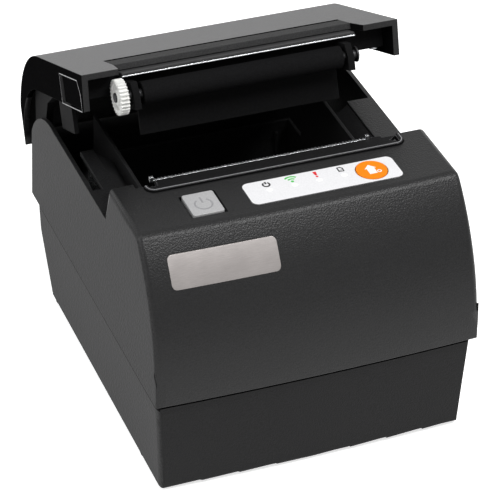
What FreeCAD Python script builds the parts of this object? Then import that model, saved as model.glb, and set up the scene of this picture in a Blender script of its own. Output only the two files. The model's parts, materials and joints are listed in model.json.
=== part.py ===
"""Receipt printer for paper rolls, lid standing part open, as a parametric document in millimetres.

The front faces -Y, +X is to the right of a person in front of it, +Z is up and the feet stand on Z = 0.
The lid and all that it carries are drawn closed and then turned open about the hinge.
"""
import math
import os
import re

import FreeCAD
import Part
import Sketcher

V = FreeCAD.Vector
doc = FreeCAD.newDocument("receipt_printer")
sheet = doc.addObject("Spreadsheet::Sheet", "Sizes")

# Driving sizes. Back counts from the front face, rise from the parting line.
SIZES = {
    # drawing allowances for cutters past a face, joined pieces and faces kept apart
    "over": 1, "beyond": 8, "bite": 0.5, "skim": 0.2, "bow_sweep": 2.4,
    # case
    "case_width": 140, "case_depth": 163, "front_reach": 87.75, "case_wall": 2.5, "side_draft": 1.0,
    "front_bow": 1.5, "rear_round": 3, "foot_height": 1.5, "base_height": 45,
    "base_inset": 2.8, "base_side_inset": 3.6, "base_draft": 2.6, "tongue_gap": 0.3,
    "base_round": 5, "base_edge_round": 1.5, "tongue_rise": 3, "rear_slope_back": 144,
    "base_back": 160, "rear_slope_drop": 7, "tongue_back": 140,
    "panel_rise": 65.2, "panel_front": 26.5, "panel_back": 60.6, "notch_back": 63, "wall_rise": 49.3,
    "arch_radius": 29, "rear_wall_rise": 34, "ledge_lap": 4.1, "ledge_back": 113, "deck_wall": 2,
    "tab_notch_gap": 0.8, "tab_notch_back": 84, "mouth_drop": 5, "mouth_front": 56.6,
    "gear_notch_back": 57.8, "gear_notch_left": 3, "gear_notch_right": 0.5, "web_rise": 3.3, "web_half": 1,
    "parting_drop": 1, "parting_gap": 0.45,
    # lid
    "lid_gap": 0.5, "lid_wall": 2.5, "lid_round": 40, "lid_back": 166, "lid_tip_rise": 21.5,
    "lid_open_angle": 23.1,
    "hinge_back": 160.4, "hinge_rise": 4.5, "pin_radius": 1.5, "running_gap": 0.05,
    "lid_notch_half": 52, "lid_notch_flare": 2.5, "lid_notch_back": 72,
    "grip_front": 66, "grip_back": 94, "grip_high": 62, "grip_depth": 1.2, "grip_corner_back": 69,
    "grip_corner_rise": 56.5,
    "arm_gap": 1.5, "arm_thick": 3, "arm_boss": 3, "arm_toe": 2.5, "arm_toe_rise": 1.5,
    "arm_knee_back": 146, "arm_knee_rise": 50, "arm_heel_back": 154, "arm_heel_rise": 32,
    "arm_root_back": 149.4, "arm_root_rise": 18, "arm_belly_back": 130, "arm_belly_rise": 44,
    "arm_seat_back": 113.6, "arm_seat_rise": 50.3, "arm_step_back": 100, "arm_nose_back": 96,
    "lug_gap": 0.5, "lug_thick": 3, "lug_front": 155, "lug_rise": 9.5, "bridge_rise": 1.1,
    "pin_in_wall": 1.5,
    "cross_back": 72.5, "cross_thick": 2, "cross_rise": 53, "tab_front": 93, "tab_back": 111,
    "tab_rise": 36, "tab_top": 52.3, "tab_thick": 2, "lid_screw_front": 80, "lid_screw_back": 88,
    "lid_screw_radius": 1.05, "lid_screw_head": 2, "lid_screw_head_high": 1.6,
    # platen
    "platen_back": 63, "platen_rise": 53.5, "roller_radius": 4.75, "roller_short_left": 2.3,
    "roller_short_right": 4.5,
    "shaft_radius": 2, "shaft_proud": 0.6, "shaft_end": 0.7, "bush_radius": 3.6,
    "bracket_gap": 1.7, "bracket_thick": 2.8, "bracket_front": 58.6, "bracket_low": 47.8,
    "bracket_high": 58.8, "bracket_heel": 67, "bracket_cheek": 53.8, "bracket_top_front": 61,
    "clip_gap": 2.1, "clip_thick": 0.7, "clip_radius": 3.3,
    "lip_half": 51, "lip_front": 65.4, "lip_low": 61.2, "lip_high": 62.4, "fixed_blade_front": 65.3,
    "fixed_blade_low": 60.7, "guide_short": 3.1, "guide_low": 34.5,
    # feed gears
    "gear_module": 0.5, "gear_clear": 0.5, "gear_width": 3.7, "platen_teeth": 28, "drive_teeth": 34,
    "idler_teeth": 40, "pinion_teeth": 16, "gear_play": 0.15, "drive_back": 54.5, "drive_rise": 39.1,
    "idler_angle": -120, "pinion_angle": -150, "post_proud": 1, "post_radius": 1.5,
    "web_recess": 1.1, "web_rim": 1.6, "web_hub": 3.1, "spindle_gap": 0.3, "collar_gap": 0.3,
    "collar_step": 1,
    "root_depth": 1.25, "tip_height": 0.85, "root_share": 0.33, "pitch_share": 0.215, "tip_share": 0.1,
    # print mechanism
    "plate_gap": 0.6, "plate_thick": 1.2, "frame_front": 14, "frame_back": 58, "frame_drop": 36,
    "frame_low_rise": 46, "frame_top_rise": 58, "frame_top_front": 40, "frame_top_back": 55,
    "frame_nose_rise": 20, "bar_back": 43, "bar_low": 38, "bar_high": 49, "bar_gap": 2.38,
    "head_front": 51, "head_back": 56.9, "head_low": 29.5, "head_high": 56.5, "head_half": 44,
    "pivot_back": 53.5, "pivot_rise": 32.5, "ceramic_thick": 1, "ceramic_half": 42, "ceramic_low": 45,
    "spring_radius": 2.5, "spring_off": 25, "spring_rise": 44, "spring_gap": 0.9,
    "motor_radius": 12.5, "motor_long": 26, "motor_nose": 4, "motor_nose_long": 0.9,
    "cutter_front": 49.2, "cutter_back": 56, "cutter_low": 57.6, "cutter_high": 58.9,
    "blade_front": 50.2, "blade_back": 59.6, "blade_half": 47, "blade_low": 59.2, "blade_high": 60,
    "rack_gap": 0.6, "rack_thick": 1.8, "rack_front": 39.5, "rack_back": 56.6, "cutter_teeth": 12,
    "cutter_module": 0.5,
    "cutter_pinion_back": 44, "cutter_motor_radius": 4.6, "cutter_motor_low": 30,
    "cutter_ear_front": 37.5, "cutter_ear_half": 4.98, "spindle_radius": 1, "spindle_hole": 1.4,
    "rack_play": 0.12,
    # paper bucket
    "bucket_half": 47.5, "bucket_wall": 1.5, "roll_radius": 41.5, "roll_back": 111.5, "roll_rise": 13,
    "bucket_front_rise": 40, "bucket_rear_rise": 18, "bucket_rear_back": 138, "leg_inner": 41,
    "leg_outer": 45, "leg_front": 107, "leg_back": 116, "rib_half": 41, "rib_thick": 1.5,
    "rib_deep": 1.5, "rib_rise": 4, "wing_front": 75, "wing_back": 112, "wing_low": 40, "wing_high": 47,
    "wing_gap": 0.3,
    # paper exit
    "bezel_reach": 3.3, "bezel_right": 57, "bezel_front": 52.5, "bezel_back": 61.4, "bezel_lip": 1.3,
    "bezel_lip_high": 0.9, "bezel_round": 4, "bezel_gap": 0.3, "strip_drop": 0.1, "strip_thick": 2,
    "bezel_gear_back": 57, "bezel_gear_side": 2, "bezel_lid_back": 60, "bezel_lid_side": 2.5,
    "tear_right": 44.2, "tear_front": 60.9, "tear_back": 62.4, "tear_thick": 0.8,
    "tear_pitch": 1.5, "tear_tooth": 0.9, "tear_ear": 1.6, "tear_ear_high": 1.4, "pocket_left": 51.8,
    "pocket_right": 55.4, "pocket_front": 54.6, "pocket_side": 57.2, "pocket_back": 59.9,
    # control panel
    "button_left": 43.5, "button_right": 30.4, "button_front": 31.2, "button_back": 46,
    "button_gap_side": 1.1, "button_gap": 0.4, "button_proud": 0.6, "button_low": 58, "button_skirt": 1,
    "button_flange": 1.6, "button_round": 1,
    "label_long": 65.8, "label_beside": 11.5, "label_front": 30.7, "label_back": 46.6, "label_round": 3.2,
    "label_thick": 0.5, "label_sink": 0.4, "switch_clear": 0.68, "key_back": 39, "key_radius": 6.5,
    "key_gap": 0.3, "key_proud": 0.4, "key_low": 61.5, "lamp_reach": 44.1, "lamp_pitch": 10.77,
    "lamp_back": 39.2, "lamp_radius": 1.2, "lamp_gap": 0.2, "lamp_count": 4,
    "board_left": 46, "board_clear": 0.48, "board_front": 30, "board_back": 48, "board_rise": 50.4,
    "board_thick": 1.6, "switch_half": 6, "switch_gap": 0.9, "feed_switch_half": 3,
    "feed_switch_gap": 0.7,
    "plate_left": 59.2, "plate_right": 14, "plate_low": 46.6, "plate_high": 58.2, "plate_round": 2,
    "plate_proud": 0.3, "plate_sink": 0.5,
    # base fittings
    "boss_side": 9.6, "boss_front": 9.6, "boss_back": 132, "boss_radius": 4, "boss_drop": 2, "boss_rise": 10,
    "boss_step": 0.4,
    "screw_radius": 1.5, "screw_gap": 0.2, "screw_head_radius": 3, "screw_head_gap": 0.4,
    "screw_seat": 30,
    "screw_head_high": 2, "screw_reach": 8, "foot_radius": 4, "foot_side": 7.8, "foot_front": 28,
    "foot_back": 139.5, "bracket_hole_x": 30, "bracket_hole_front": 34, "bracket_hole_back": 80,
    "bracket_hole_radius": 1.25, "bracket_boss_radius": 3.5, "bracket_boss_high": 5, "bracket_cap": 1,
    "post_x": 42, "post_front": 20, "post_back": 52, "post_width": 4, "mech_screw_radius": 1.25,
    "mech_screw_deep": 5, "mech_screw_head": 2.5, "mech_screw_head_high": 1.5,
    "board_half": 38, "main_front": 86, "main_back": 139, "main_off": 2.2, "main_thick": 1.6,
    "main_post": 3, "main_post_in": 4, "main_post_back": 123, "socket_front": 133, "socket_back": 149,
    "socket_gap": 0.4,
    "socket_wall": 1.4, "socket_deep": 9, "drawer_left": -30, "drawer_right": -16.5, "drawer_high": 12.5,
    "network_left": -10, "network_right": 6, "network_high": 13.4, "usb_left": 11, "usb_right": 23,
    "usb_high": 11, "power_left": 26, "power_right": 38, "power_high": 12.2,
    "sensor_left": 10, "sensor_right": 18, "sensor_low": 18, "sensor_high": 26, "sensor_deep": 3,
    "keeper_gap": 0.6, "keeper_thick": 1, "keeper_front": 92, "keeper_back": 104,
    "keeper_rise": 30,
}

# Sizes worked out from the driving ones.
DERIVED = {
    "front": "(-front_reach)",
    "split": "(foot_height + base_height)",
    "half": "(case_width / 2)",
    "panel_top": "(split + panel_rise)",
    "panel_under": "(panel_top - case_wall)",
    "wall_top": "(split + wall_rise)",
    "floor_top": "(foot_height + case_wall)",
    "rear": "(front + case_depth)",
    "lid_rear": "(front + lid_back)",
    "arch_back": "(rear - arch_radius)",
    "arch_low": "(wall_top - arch_radius)",
    "skin_under": "(panel_top - lid_wall)",
    "front_radius": "((panel_front ^ 2 + panel_rise ^ 2) / (2 * panel_front))",
    "bow_radius": "((half ^ 2 + front_bow ^ 2) / (2 * front_bow))",
    "hinge_y": "(front + hinge_back)",
    "hinge_z": "(split + hinge_rise)",
    "platen_y": "(front + platen_back)",
    "platen_z": "(split + platen_rise)",
    "drive_y": "(front + drive_back)",
    "drive_z": "(split + drive_rise)",
    "idler_reach": "((drive_teeth + idler_teeth) * gear_module / 2 + gear_play)",
    "idler_y": "(drive_y + idler_reach * cos(idler_angle * 1deg))",
    "idler_z": "(drive_z + idler_reach * sin(idler_angle * 1deg))",
    "pinion_reach": "((idler_teeth + pinion_teeth) * gear_module / 2 + gear_play)",
    "pinion_y": "(idler_y + pinion_reach * cos(pinion_angle * 1deg))",
    "pinion_z": "(idler_z + pinion_reach * sin(pinion_angle * 1deg))",
    "pivot_y": "(front + pivot_back)",
    "pivot_z": "(split + pivot_rise)",
    "rack_inner": "(blade_half + rack_gap)",
    "rack_outer": "(rack_inner + rack_thick)",
    "plate_inner": "(rack_outer + plate_gap)",
    "gear_near": "(plate_inner + plate_thick + gear_clear)",
    "gear_far": "(gear_near + gear_width)",
    "post_end": "(gear_far + post_proud)",
    "shaft_left": "(gear_far + shaft_proud)",
    "roller_left": "(blade_half - roller_short_left)",
    "roller_right": "(blade_half - roller_short_right)",
    "guide_half": "(blade_half - guide_short)",
    "left_bracket": "(roller_left + bracket_gap)",
    "right_bracket": "(roller_right + bracket_gap)",
    "clip_left": "(right_bracket + bracket_thick + clip_gap)",
    "shaft_right": "(clip_left + clip_thick + shaft_end)",
    "tear_left": "(gear_near - gear_clear)",
    "bezel_left": "(gear_near + bezel_reach)",
    "cutter_pitch": "(cutter_teeth * cutter_module / 2)",
    "cutter_x": "(rack_inner - cutter_module - cutter_pitch - rack_play)",
    "cutter_y": "(front + cutter_pinion_back)",
    "cutter_ear_left": "(cutter_x - cutter_ear_half)",
    "board_right": "(cutter_x - cutter_motor_radius - board_clear)",
    "key_x": "(cutter_x - cutter_motor_radius - feed_switch_half - switch_clear)",
    "label_right": "(key_x + label_beside)",
    "label_left": "(label_long - label_right)",
    "lamp_first": "(lamp_reach - key_x)",
    "bar_right": "(cutter_x - cutter_motor_radius - bar_gap)",
    "strip_top": "(panel_top - strip_drop)",
    "base_half": "(half - base_side_inset)",
    "tongue_half": "(half - case_wall - tongue_gap)",
    "boss_x": "(half - boss_side)",
    "foot_x": "(half - foot_side)",
    "arm_outer": "(half - case_wall - arm_gap)",
    "arm_inner": "(arm_outer - arm_thick)",
    "lug_outer": "(arm_inner - lug_gap)",
    "lug_inner": "(lug_outer - lug_thick)",
    "tab_inner": "(arm_outer - tab_thick)",
    "tab_notch_inner": "(tab_inner - tab_notch_gap)",
    "keeper_outer": "(tab_notch_inner - keeper_gap)",
    "keeper_inner": "(keeper_outer - keeper_thick)",
    "ledge_inner": "(keeper_inner - ledge_lap)",
    "wing_inner": "(bucket_half + bucket_wall - bite)",
    "wing_outer": "(ledge_inner - wing_gap)",
    "board_top": "(split + board_rise + board_thick)",
    "main_low": "(floor_top + main_off)",
    "main_top": "(main_low + main_thick)",
    "frame_low": "(split - frame_drop)",
    "side_lean": "(tan(side_draft * 1deg) * grip_high)",
    "roll_y": "(front + roll_back)",
    "roll_z": "(split + roll_rise)",
}

row = 0
for alias, size in SIZES.items():
    row += 1
    sheet.set("A%d" % row, alias)
    sheet.set("B%d" % row, str(size))
    sheet.setAlias("B%d" % row, alias)
doc.recompute()


def ex(text):
    """The text with each worked out size spelled out and each driving size read from the sheet."""
    def spell(match):
        word = match.group(0)
        if word in DERIVED:
            return ex(DERIVED[word])
        if word in SIZES:
            return "Sizes." + word
        return word
    return re.sub(r"[a-z_]+", spell, str(text))


def value(text):
    """The number that an expression has now."""
    found = sheet.evalExpression(ex(text))
    return float(getattr(found, "Value", found))


def bind(thing, prop, text):
    thing.setExpression(prop, ex(text))


def place(thing, x, y, z):
    bind(thing, "Placement.Base.x", x)
    bind(thing, "Placement.Base.y", y)
    bind(thing, "Placement.Base.z", z)


def box(name, x, y, z):
    """A block between two values on each axis."""
    thing = doc.addObject("Part::Box", name)
    for prop, (low, high) in (("Length", x), ("Width", y), ("Height", z)):
        bind(thing, prop, "(%s) - (%s)" % (high, low))
    place(thing, x[0], y[0], z[0])
    return thing


TURNS = {
    "X": FreeCAD.Rotation(V(0, 1, 0), 90),
    "Y": FreeCAD.Rotation(V(1, 0, 0), -90),
    "Z": FreeCAD.Rotation(),
}


def rod(name, axis, radius, span, one, two):
    """A round bar along an axis; one and two are its other coordinates in X, Y, Z order."""
    thing = doc.addObject("Part::Cylinder", name)
    bind(thing, "Radius", radius)
    bind(thing, "Height", "(%s) - (%s)" % (span[1], span[0]))
    thing.Placement = FreeCAD.Placement(V(), TURNS[axis])
    spots = {"X": (span[0], one, two), "Y": (one, span[0], two), "Z": (one, two, span[0])}
    place(thing, *spots[axis])
    return thing


def arc_between(start, end, radius, turn):
    """The shorter arc from start to end; turn is 1 counterclockwise and -1 clockwise."""
    chord = end - start
    middle = (start + end) * 0.5
    side = V(-chord.y, chord.x, 0).normalize()
    centre = middle + side * (turn * math.sqrt(max(radius ** 2 - chord.Length ** 2 / 4, 0)))
    if (middle - centre).Length < 1e-9:
        return Part.Arc(start, centre - side * (turn * radius), end)
    return Part.Arc(start, centre + (middle - centre).normalize() * radius, end)


def draw(sketch, path):
    """Draw a closed outline. A corner is (u, v); (u, v, radius, turn) is reached along an arc."""
    corners = [V(value(step[0]), value(step[1]), 0) for step in path]
    ids = []
    for index, start in enumerate(corners):
        after = (index + 1) % len(path)
        end = corners[after]
        if len(path[after]) > 2:
            edge = arc_between(start, end, value(path[after][2]), path[after][3])
        else:
            edge = Part.LineSegment(start, end)
        ids.append(sketch.addGeometry(edge))
    firsts = []
    for edge, corner in zip(ids, corners):
        near = (sketch.getPoint(edge, 1) - corner).Length < 1e-5
        firsts.append(1 if near else 2)
    for index, edge in enumerate(ids):
        after = (index + 1) % len(ids)
        sketch.addConstraint(Sketcher.Constraint("Coincident", edge, 3 - firsts[index], ids[after],
                firsts[after]))
    for index, edge in enumerate(ids):
        for kind, text, now in (("DistanceX", path[index][0], corners[index].x),
                                ("DistanceY", path[index][1], corners[index].y)):
            spot = sketch.addConstraint(Sketcher.Constraint(kind, -1, 1, edge, firsts[index], now))
            bind(sketch, "Constraints[%d]" % spot, text)
        after = (index + 1) % len(path)
        if len(path[after]) > 2:
            spot = sketch.addConstraint(Sketcher.Constraint("Radius", edge, value(path[after][2])))
            bind(sketch, "Constraints[%d]" % spot, path[after][2])


def prism(name, plane, path, span, draft=None):
    """An outline on the XY, XZ or YZ plane, padded across the span on the third axis."""
    body = doc.addObject("PartDesign::Body", name)
    sketch = body.newObject("Sketcher::SketchObject", name + "_outline")
    support = [item for item in body.Origin.OriginFeatures if item.Role == plane + "_Plane"][0]
    sketch.AttachmentSupport = [(support, "")]
    sketch.MapMode = "FlatFace"
    doc.recompute()
    draw(sketch, path)
    pad = body.newObject("PartDesign::Pad", name + "_pad")
    pad.Profile = sketch
    bind(pad, "Length", "(%s) - (%s)" % (span[1], span[0]))
    if draft:
        bind(pad, "TaperAngle", draft)
    if plane == "XZ":
        bind(body, "Placement.Base.y", span[1])
    else:
        bind(body, "Placement.Base." + {"XY": "z", "YZ": "x"}[plane], span[0])
    return body


def bowed(name, path):
    """An outline in the YZ plane swept a little to each side, so that a front face bows outward."""
    sketch = doc.addObject("Sketcher::SketchObject", name + "_outline")
    sketch.Placement = FreeCAD.Placement(V(), FreeCAD.Rotation(V(1, 1, 1), 120))
    draw(sketch, path)
    thing = doc.addObject("Part::Revolution", name)
    thing.Source = sketch
    thing.Axis = V(0, 0, 1)
    bind(thing, "Base.y", "front - front_bow + bow_radius")
    bind(thing, "Angle", "bow_sweep * asin(half / bow_radius)")
    thing.Symmetric = True
    thing.Solid = True
    return thing


def rounded(x, y, radius):
    """A rectangle with rounded corners as an outline."""
    (left, right), (near, far) = x, y
    radius = "(%s)" % radius
    return [
        ("%s - %s" % (right, radius), near),
        (right, "%s + %s" % (near, radius), radius, 1),
        (right, "%s - %s" % (far, radius)),
        ("%s - %s" % (right, radius), far, radius, 1),
        ("%s + %s" % (left, radius), far),
        (left, "%s - %s" % (far, radius), radius, 1),
        (left, "%s + %s" % (near, radius)),
        ("%s + %s" % (left, radius), near, radius, 1),
    ]


def combine(kind, name, shapes):
    thing = doc.addObject("Part::" + kind, name)
    if kind == "Compound":
        thing.Links = shapes
    else:
        thing.Shapes = shapes
    return thing


def fuse(name, *shapes):
    return combine("MultiFuse", name, list(shapes))


def common(name, *shapes):
    return combine("MultiCommon", name, list(shapes))


def group(name, *shapes):
    return combine("Compound", name, list(shapes))


def cut(name, base, *tools):
    thing = doc.addObject("Part::Cut", name)
    thing.Base = base
    thing.Tool = tools[0] if len(tools) == 1 else fuse(name + "_tools", *tools)
    return thing


NODES = []


def node(label, thing):
    """Keep a piece as a node under its own label."""
    thing.Label = label
    NODES.append(thing)


def lid_node(label, thing):
    """Keep a piece that the lid carries, turned from the closed place to the open one."""
    piece = group(label + "_open", thing)
    piece.Placement = FreeCAD.Placement(
        V(), FreeCAD.Rotation(V(1, 0, 0), -value("lid_open_angle")), V(0, value("hinge_y"), value("hinge_z"))
    )
    piece.Label = label
    NODES.append(piece)


def both(text):
    """The same span on the left and on the right of the middle."""
    low, high = text
    return (("-(%s)" % high, "-(%s)" % low), (low, high))


FAR = "rear + beyond"
AHEAD = "front - front_bow - beyond"


def front_form(name, inset, low, high):
    """The space behind the bowed front face, which leans back in an arc up to the panel's front edge."""
    return bowed(name, [
        ("front - front_bow + %s" % inset, low),
        ("front - front_bow + %s" % inset, "split"),
        ("front - front_bow + panel_front + %s" % inset, "panel_top", "front_radius", -1),
        ("front - front_bow + panel_front + %s + beyond" % inset, high),
        (FAR, high),
        (FAR, low),
    ])


def make_upper_case():
    outline = prism("upper_side_form", "YZ", [
        (AHEAD, "split"),
        (AHEAD, "panel_top"),
        ("front + panel_back", "panel_top"),
        ("front + notch_back", "wall_top"),
        ("arch_back", "wall_top"),
        ("rear", "arch_low", "arch_radius", -1),
        ("rear", "split"),
    ], ("-half - over", "half + over"))
    plan = prism("upper_plan_form", "XY", rounded(("-half", "half"), ("front - front_bow", "rear"),
            "rear_round"),
                 ("split", "panel_top + over"), "-side_draft")
    outside = common("upper_outside", outline, plan,
            front_form("upper_front_form", "0", "split - over", "panel_top + beyond"))
    hollow_outline = prism("upper_hollow_side", "YZ", [
        (AHEAD, "split - over"),
        (AHEAD, "panel_under"),
        ("front + panel_back - case_wall", "panel_under"),
        ("front + notch_back - case_wall", "wall_top - deck_wall"),
        ("arch_back", "wall_top - deck_wall"),
        ("rear - deck_wall", "arch_low", "arch_radius - deck_wall", -1),
        ("rear - deck_wall", "split - over"),
    ], ("-half - over", "half + over"))
    hollow_plan = prism(
        "upper_hollow_plan", "XY",
        rounded(("-half + case_wall", "half - case_wall"), ("front", "rear - deck_wall"),
                "rear_round - deck_wall"),
        ("split - over", "panel_top"), "-side_draft")
    hollow = common("upper_hollow", hollow_outline, hollow_plan,
                    front_form("upper_hollow_front", "case_wall", "split - over", "panel_top + beyond"))
    tools = [hollow]
    tools.append(box("deck_opening", ("-ledge_inner", "ledge_inner"),
            ("front + mouth_front", "front + ledge_back"),
                     ("wall_top - mouth_drop", "panel_under - skim")))
    tools.append(box("rear_opening", ("-half + case_wall + skim", "half - case_wall - skim"),
                     ("front + ledge_back", "rear + beyond"), ("split + rear_wall_rise", "panel_top")))
    tools.append(prism("bezel_opening", "XY",
                       rounded(("-bezel_left - bezel_gap", "bezel_right + bezel_gap"),
                               ("front + bezel_front - bezel_gap", "front + panel_back + beyond"),
                                       "bezel_round"),
                       ("wall_top - over", "panel_top + over")))
    tools.append(box("tab_notch", ("-half + case_wall + skim", "-tab_notch_inner"),
                     ("front + tab_notch_back", "front + ledge_back + over"),
                     ("wall_top - deck_wall - over", "wall_top + over")))
    for index, span in enumerate(both(("lug_outer", "half - case_wall"))):
        tools.append(box("arm_slot_%d" % index, span, ("arch_back", "rear + over"),
                         ("split + bridge_rise", "split + rear_wall_rise + over")))
    tools.append(box("gear_notch", ("-gear_far - gear_notch_left", "-gear_near + gear_notch_right"),
                     ("front + gear_notch_back", "front + panel_back + beyond"),
                             ("wall_top - mouth_drop", "panel_top + over")))
    tools.append(box("button_hole", ("-button_left - button_gap_side",
            "-button_right + button_gap_side"),
                     ("front + button_front - button_gap", "front + button_back + button_gap"),
                     ("panel_under - over", "panel_top + over")))
    tools.append(prism("label_seat", "XY", rounded(("-label_left", "label_right"),
                                                   ("front + label_front", "front + label_back"),
                                                           "label_round"),
                       ("panel_top - label_sink", "panel_top + over")))
    tools.append(rod("key_hole", "Z", "key_radius + key_gap", ("panel_under - over", "panel_top + over"),
                     "key_x", "front + key_back"))
    for index in range(SIZES["lamp_count"]):
        tools.append(rod("lamp_hole_%d" % index, "Z", "lamp_radius + lamp_gap",
                ("panel_under - over", "panel_top"),
                         "-lamp_first + lamp_pitch * %d" % index, "front + lamp_back"))
    tools.append(nameplate_form("nameplate_seat"))
    shell = cut("upper_shell", outside, *tools)
    added = [shell]
    for index, (side, sign) in enumerate((("-boss_x", "-"), ("boss_x", ""))):
        wall = sorted([side, sign + "(half - case_wall + bite)"], key=value)
        for spot in ("boss_front", "boss_back"):
            added.append(rod("case_boss_%s_%d" % (spot, index), "Z", "boss_radius",
                             ("split - boss_drop", "split + boss_rise"), side, "front + " + spot))
            added.append(box("case_web_%s_%d" % (spot, index), wall,
                             ("front + %s - web_half" % spot, "front + %s + web_half" % spot),
                             ("split + web_rise", "split + boss_rise")))
    for index, span in enumerate(both(("lug_inner", "lug_outer"))):
        added.append(box("hinge_lug_%d" % index, span, ("front + lug_front", "rear - bite"),
                         ("split", "split + lug_rise")))
    solid = fuse("upper_solid", *added)
    holes = []
    for index, (side, span) in enumerate(zip(("-boss_x", "boss_x"),
                                             both(("lug_inner - over",
                                                     "half - case_wall + pin_in_wall")))):
        holes.append(rod("hinge_hole_%d" % index, "X", "pin_radius", span, "hinge_y", "hinge_z"))
        for spot in ("boss_front", "boss_back"):
            holes.append(rod("case_screw_hole_%s_%d" % (spot, index), "Z", "screw_radius",
                             ("split - boss_drop - over", "split + screw_reach"), side,
                                     "front + " + spot))
    node("upper_case", cut("upper_finished", solid, *holes))


def nameplate_form(name):
    """The curved plate between two offsets of the front face."""
    frame = prism(name + "_frame", "XZ", rounded(("-plate_left", "-plate_right"),
                                                 ("split + plate_low", "split + plate_high"),
                                                         "plate_round"),
                  ("front - beyond", "front + panel_front"))
    outer = front_form(name + "_outer", "(-plate_proud)", "split - over", "panel_top + beyond")
    inner = front_form(name + "_inner", "plate_sink", "split - over", "panel_top + beyond")
    return cut(name, common(name + "_block", frame, outer), inner)


SOCKETS = ("drawer", "network", "usb", "power")


def make_base_case():
    rim = "split - parting_gap"
    outline = prism("base_side_form", "YZ", [
        (AHEAD, "foot_height"),
        ("front + rear_slope_back", "foot_height"),
        ("front + base_back", "split - rear_slope_drop"),
        ("front + base_back", "split - parting_drop"),
        ("front + tongue_back", "split - parting_drop"),
        ("front + tongue_back", rim),
        (AHEAD, rim),
    ], ("-half", "half"))
    face = "front - front_bow + base_inset"
    plan = prism("base_plan_form", "XY",
                 rounded(("-base_half", "base_half"), (face, "front + base_back"), "base_round"),
                 ("foot_height", rim), "base_draft")
    bow = bowed("base_front_form", [
        (face, "split + tongue_rise + over"),
        (face, "foot_height + base_edge_round"),
        (face + " + base_edge_round", "foot_height", "base_edge_round", 1),
        (FAR, "foot_height"),
        (FAR, "split + tongue_rise + over"),
    ])
    tongue_plan = prism("base_tongue_form", "XY",
                        rounded(("-tongue_half", "tongue_half"), (face, "front + tongue_back"),
                                "base_round"),
                        ("split - beyond", "split + tongue_rise"))
    outside = fuse("base_outside", common("base_block", outline, plan, bow),
                   common("base_tongue", tongue_plan, bow))
    hollow_outline = prism("base_hollow_side", "YZ", [
        (face + " + case_wall + front_bow", "floor_top"),
        ("front + rear_slope_back - case_wall", "floor_top"),
        ("front + base_back - case_wall", "split - rear_slope_drop"),
        ("front + base_back - case_wall", "split + tongue_rise + over"),
        (face + " + case_wall + front_bow", "split + tongue_rise + over"),
    ], ("-tongue_half + case_wall", "tongue_half - case_wall"))
    tray = cut("base_tray", outside, hollow_outline)
    added = [tray]
    holes = []
    for side in ("-", ""):
        for spot in ("boss_front", "boss_back"):
            name = "%s_%s" % (spot, "left" if side else "right")
            where = (side + "boss_x", "front + " + spot)
            added.append(rod("base_boss_" + name, "Z", "boss_radius + boss_step",
                    ("foot_height", "split - boss_drop"), *where))
            holes.append(rod("base_screw_way_" + name, "Z", "screw_head_radius + screw_head_gap",
                             ("foot_height - over", "screw_seat"), *where))
            holes.append(rod("base_screw_hole_" + name, "Z", "screw_radius + screw_gap",
                             ("screw_seat - over", "split"), *where))
        for spot in ("bracket_hole_front", "bracket_hole_back"):
            name = "%s_%s" % (spot, "left" if side else "right")
            where = (side + "bracket_hole_x", "front + " + spot)
            added.append(rod("boss_" + name, "Z", "bracket_boss_radius",
                             ("foot_height", "floor_top + bracket_boss_high"), *where))
            holes.append(rod(name, "Z", "bracket_hole_radius",
                             ("foot_height - over", "floor_top + bracket_boss_high - bracket_cap"),
                                     *where))
        for spot in ("post_front", "post_back"):
            name = "mech_%s_%s" % (spot, "left" if side else "right")
            where = (side + "post_x", "front + " + spot)
            added.append(rod(name, "Z", "post_width", ("foot_height + bite", "frame_low"), *where))
            holes.append(rod("hole_" + name, "Z", "mech_screw_radius",
                             ("frame_low - mech_screw_deep", "frame_low + over"), *where))
        for index, spot in enumerate(main_board_spots()):
            name = "main_post_%d_%s" % (index, "left" if side else "right")
            where = (side + "(board_half - main_post_in)", spot)
            added.append(rod(name, "Z", "main_post", ("foot_height + bite", "main_low"), *where))
            holes.append(rod("hole_" + name, "Z", "mech_screw_radius",
                    ("floor_top - over", "main_low + over"), *where))
    for name in SOCKETS:
        holes.append(box(name + "_window", (name + "_left - socket_gap", name + "_right + socket_gap"),
                         ("front + socket_front + over", "front + base_back + over"),
                         ("main_top - socket_gap", "main_top + %s_high + socket_gap" % name)))
    node("base_case", cut("base_finished", fuse("base_solid", *added), *holes))


def main_board_spots():
    return ("front + main_front + main_post_in", "front + main_post_back")


def make_base_fittings():
    feet = []
    screws = []
    for side in ("-", ""):
        for spot in ("foot_front", "foot_back"):
            feet.append(rod("rubber_foot", "Z", "foot_radius", ("0", "foot_height"), side + "foot_x",
                    "front + " + spot))
        for spot in ("boss_front", "boss_back"):
            where = (side + "boss_x", "front + " + spot)
            head = rod("case_screw_head", "Z", "screw_head_radius",
                    ("screw_seat - screw_head_high", "screw_seat"), *where)
            shank = rod("case_screw_shank", "Z", "screw_radius",
                    ("screw_seat - bite", "split + screw_reach"), *where)
            screws.append(fuse("case_screw", head, shank))
    node("rubber_feet", group("feet", *feet))
    node("case_screws", group("screws", *screws))


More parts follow.
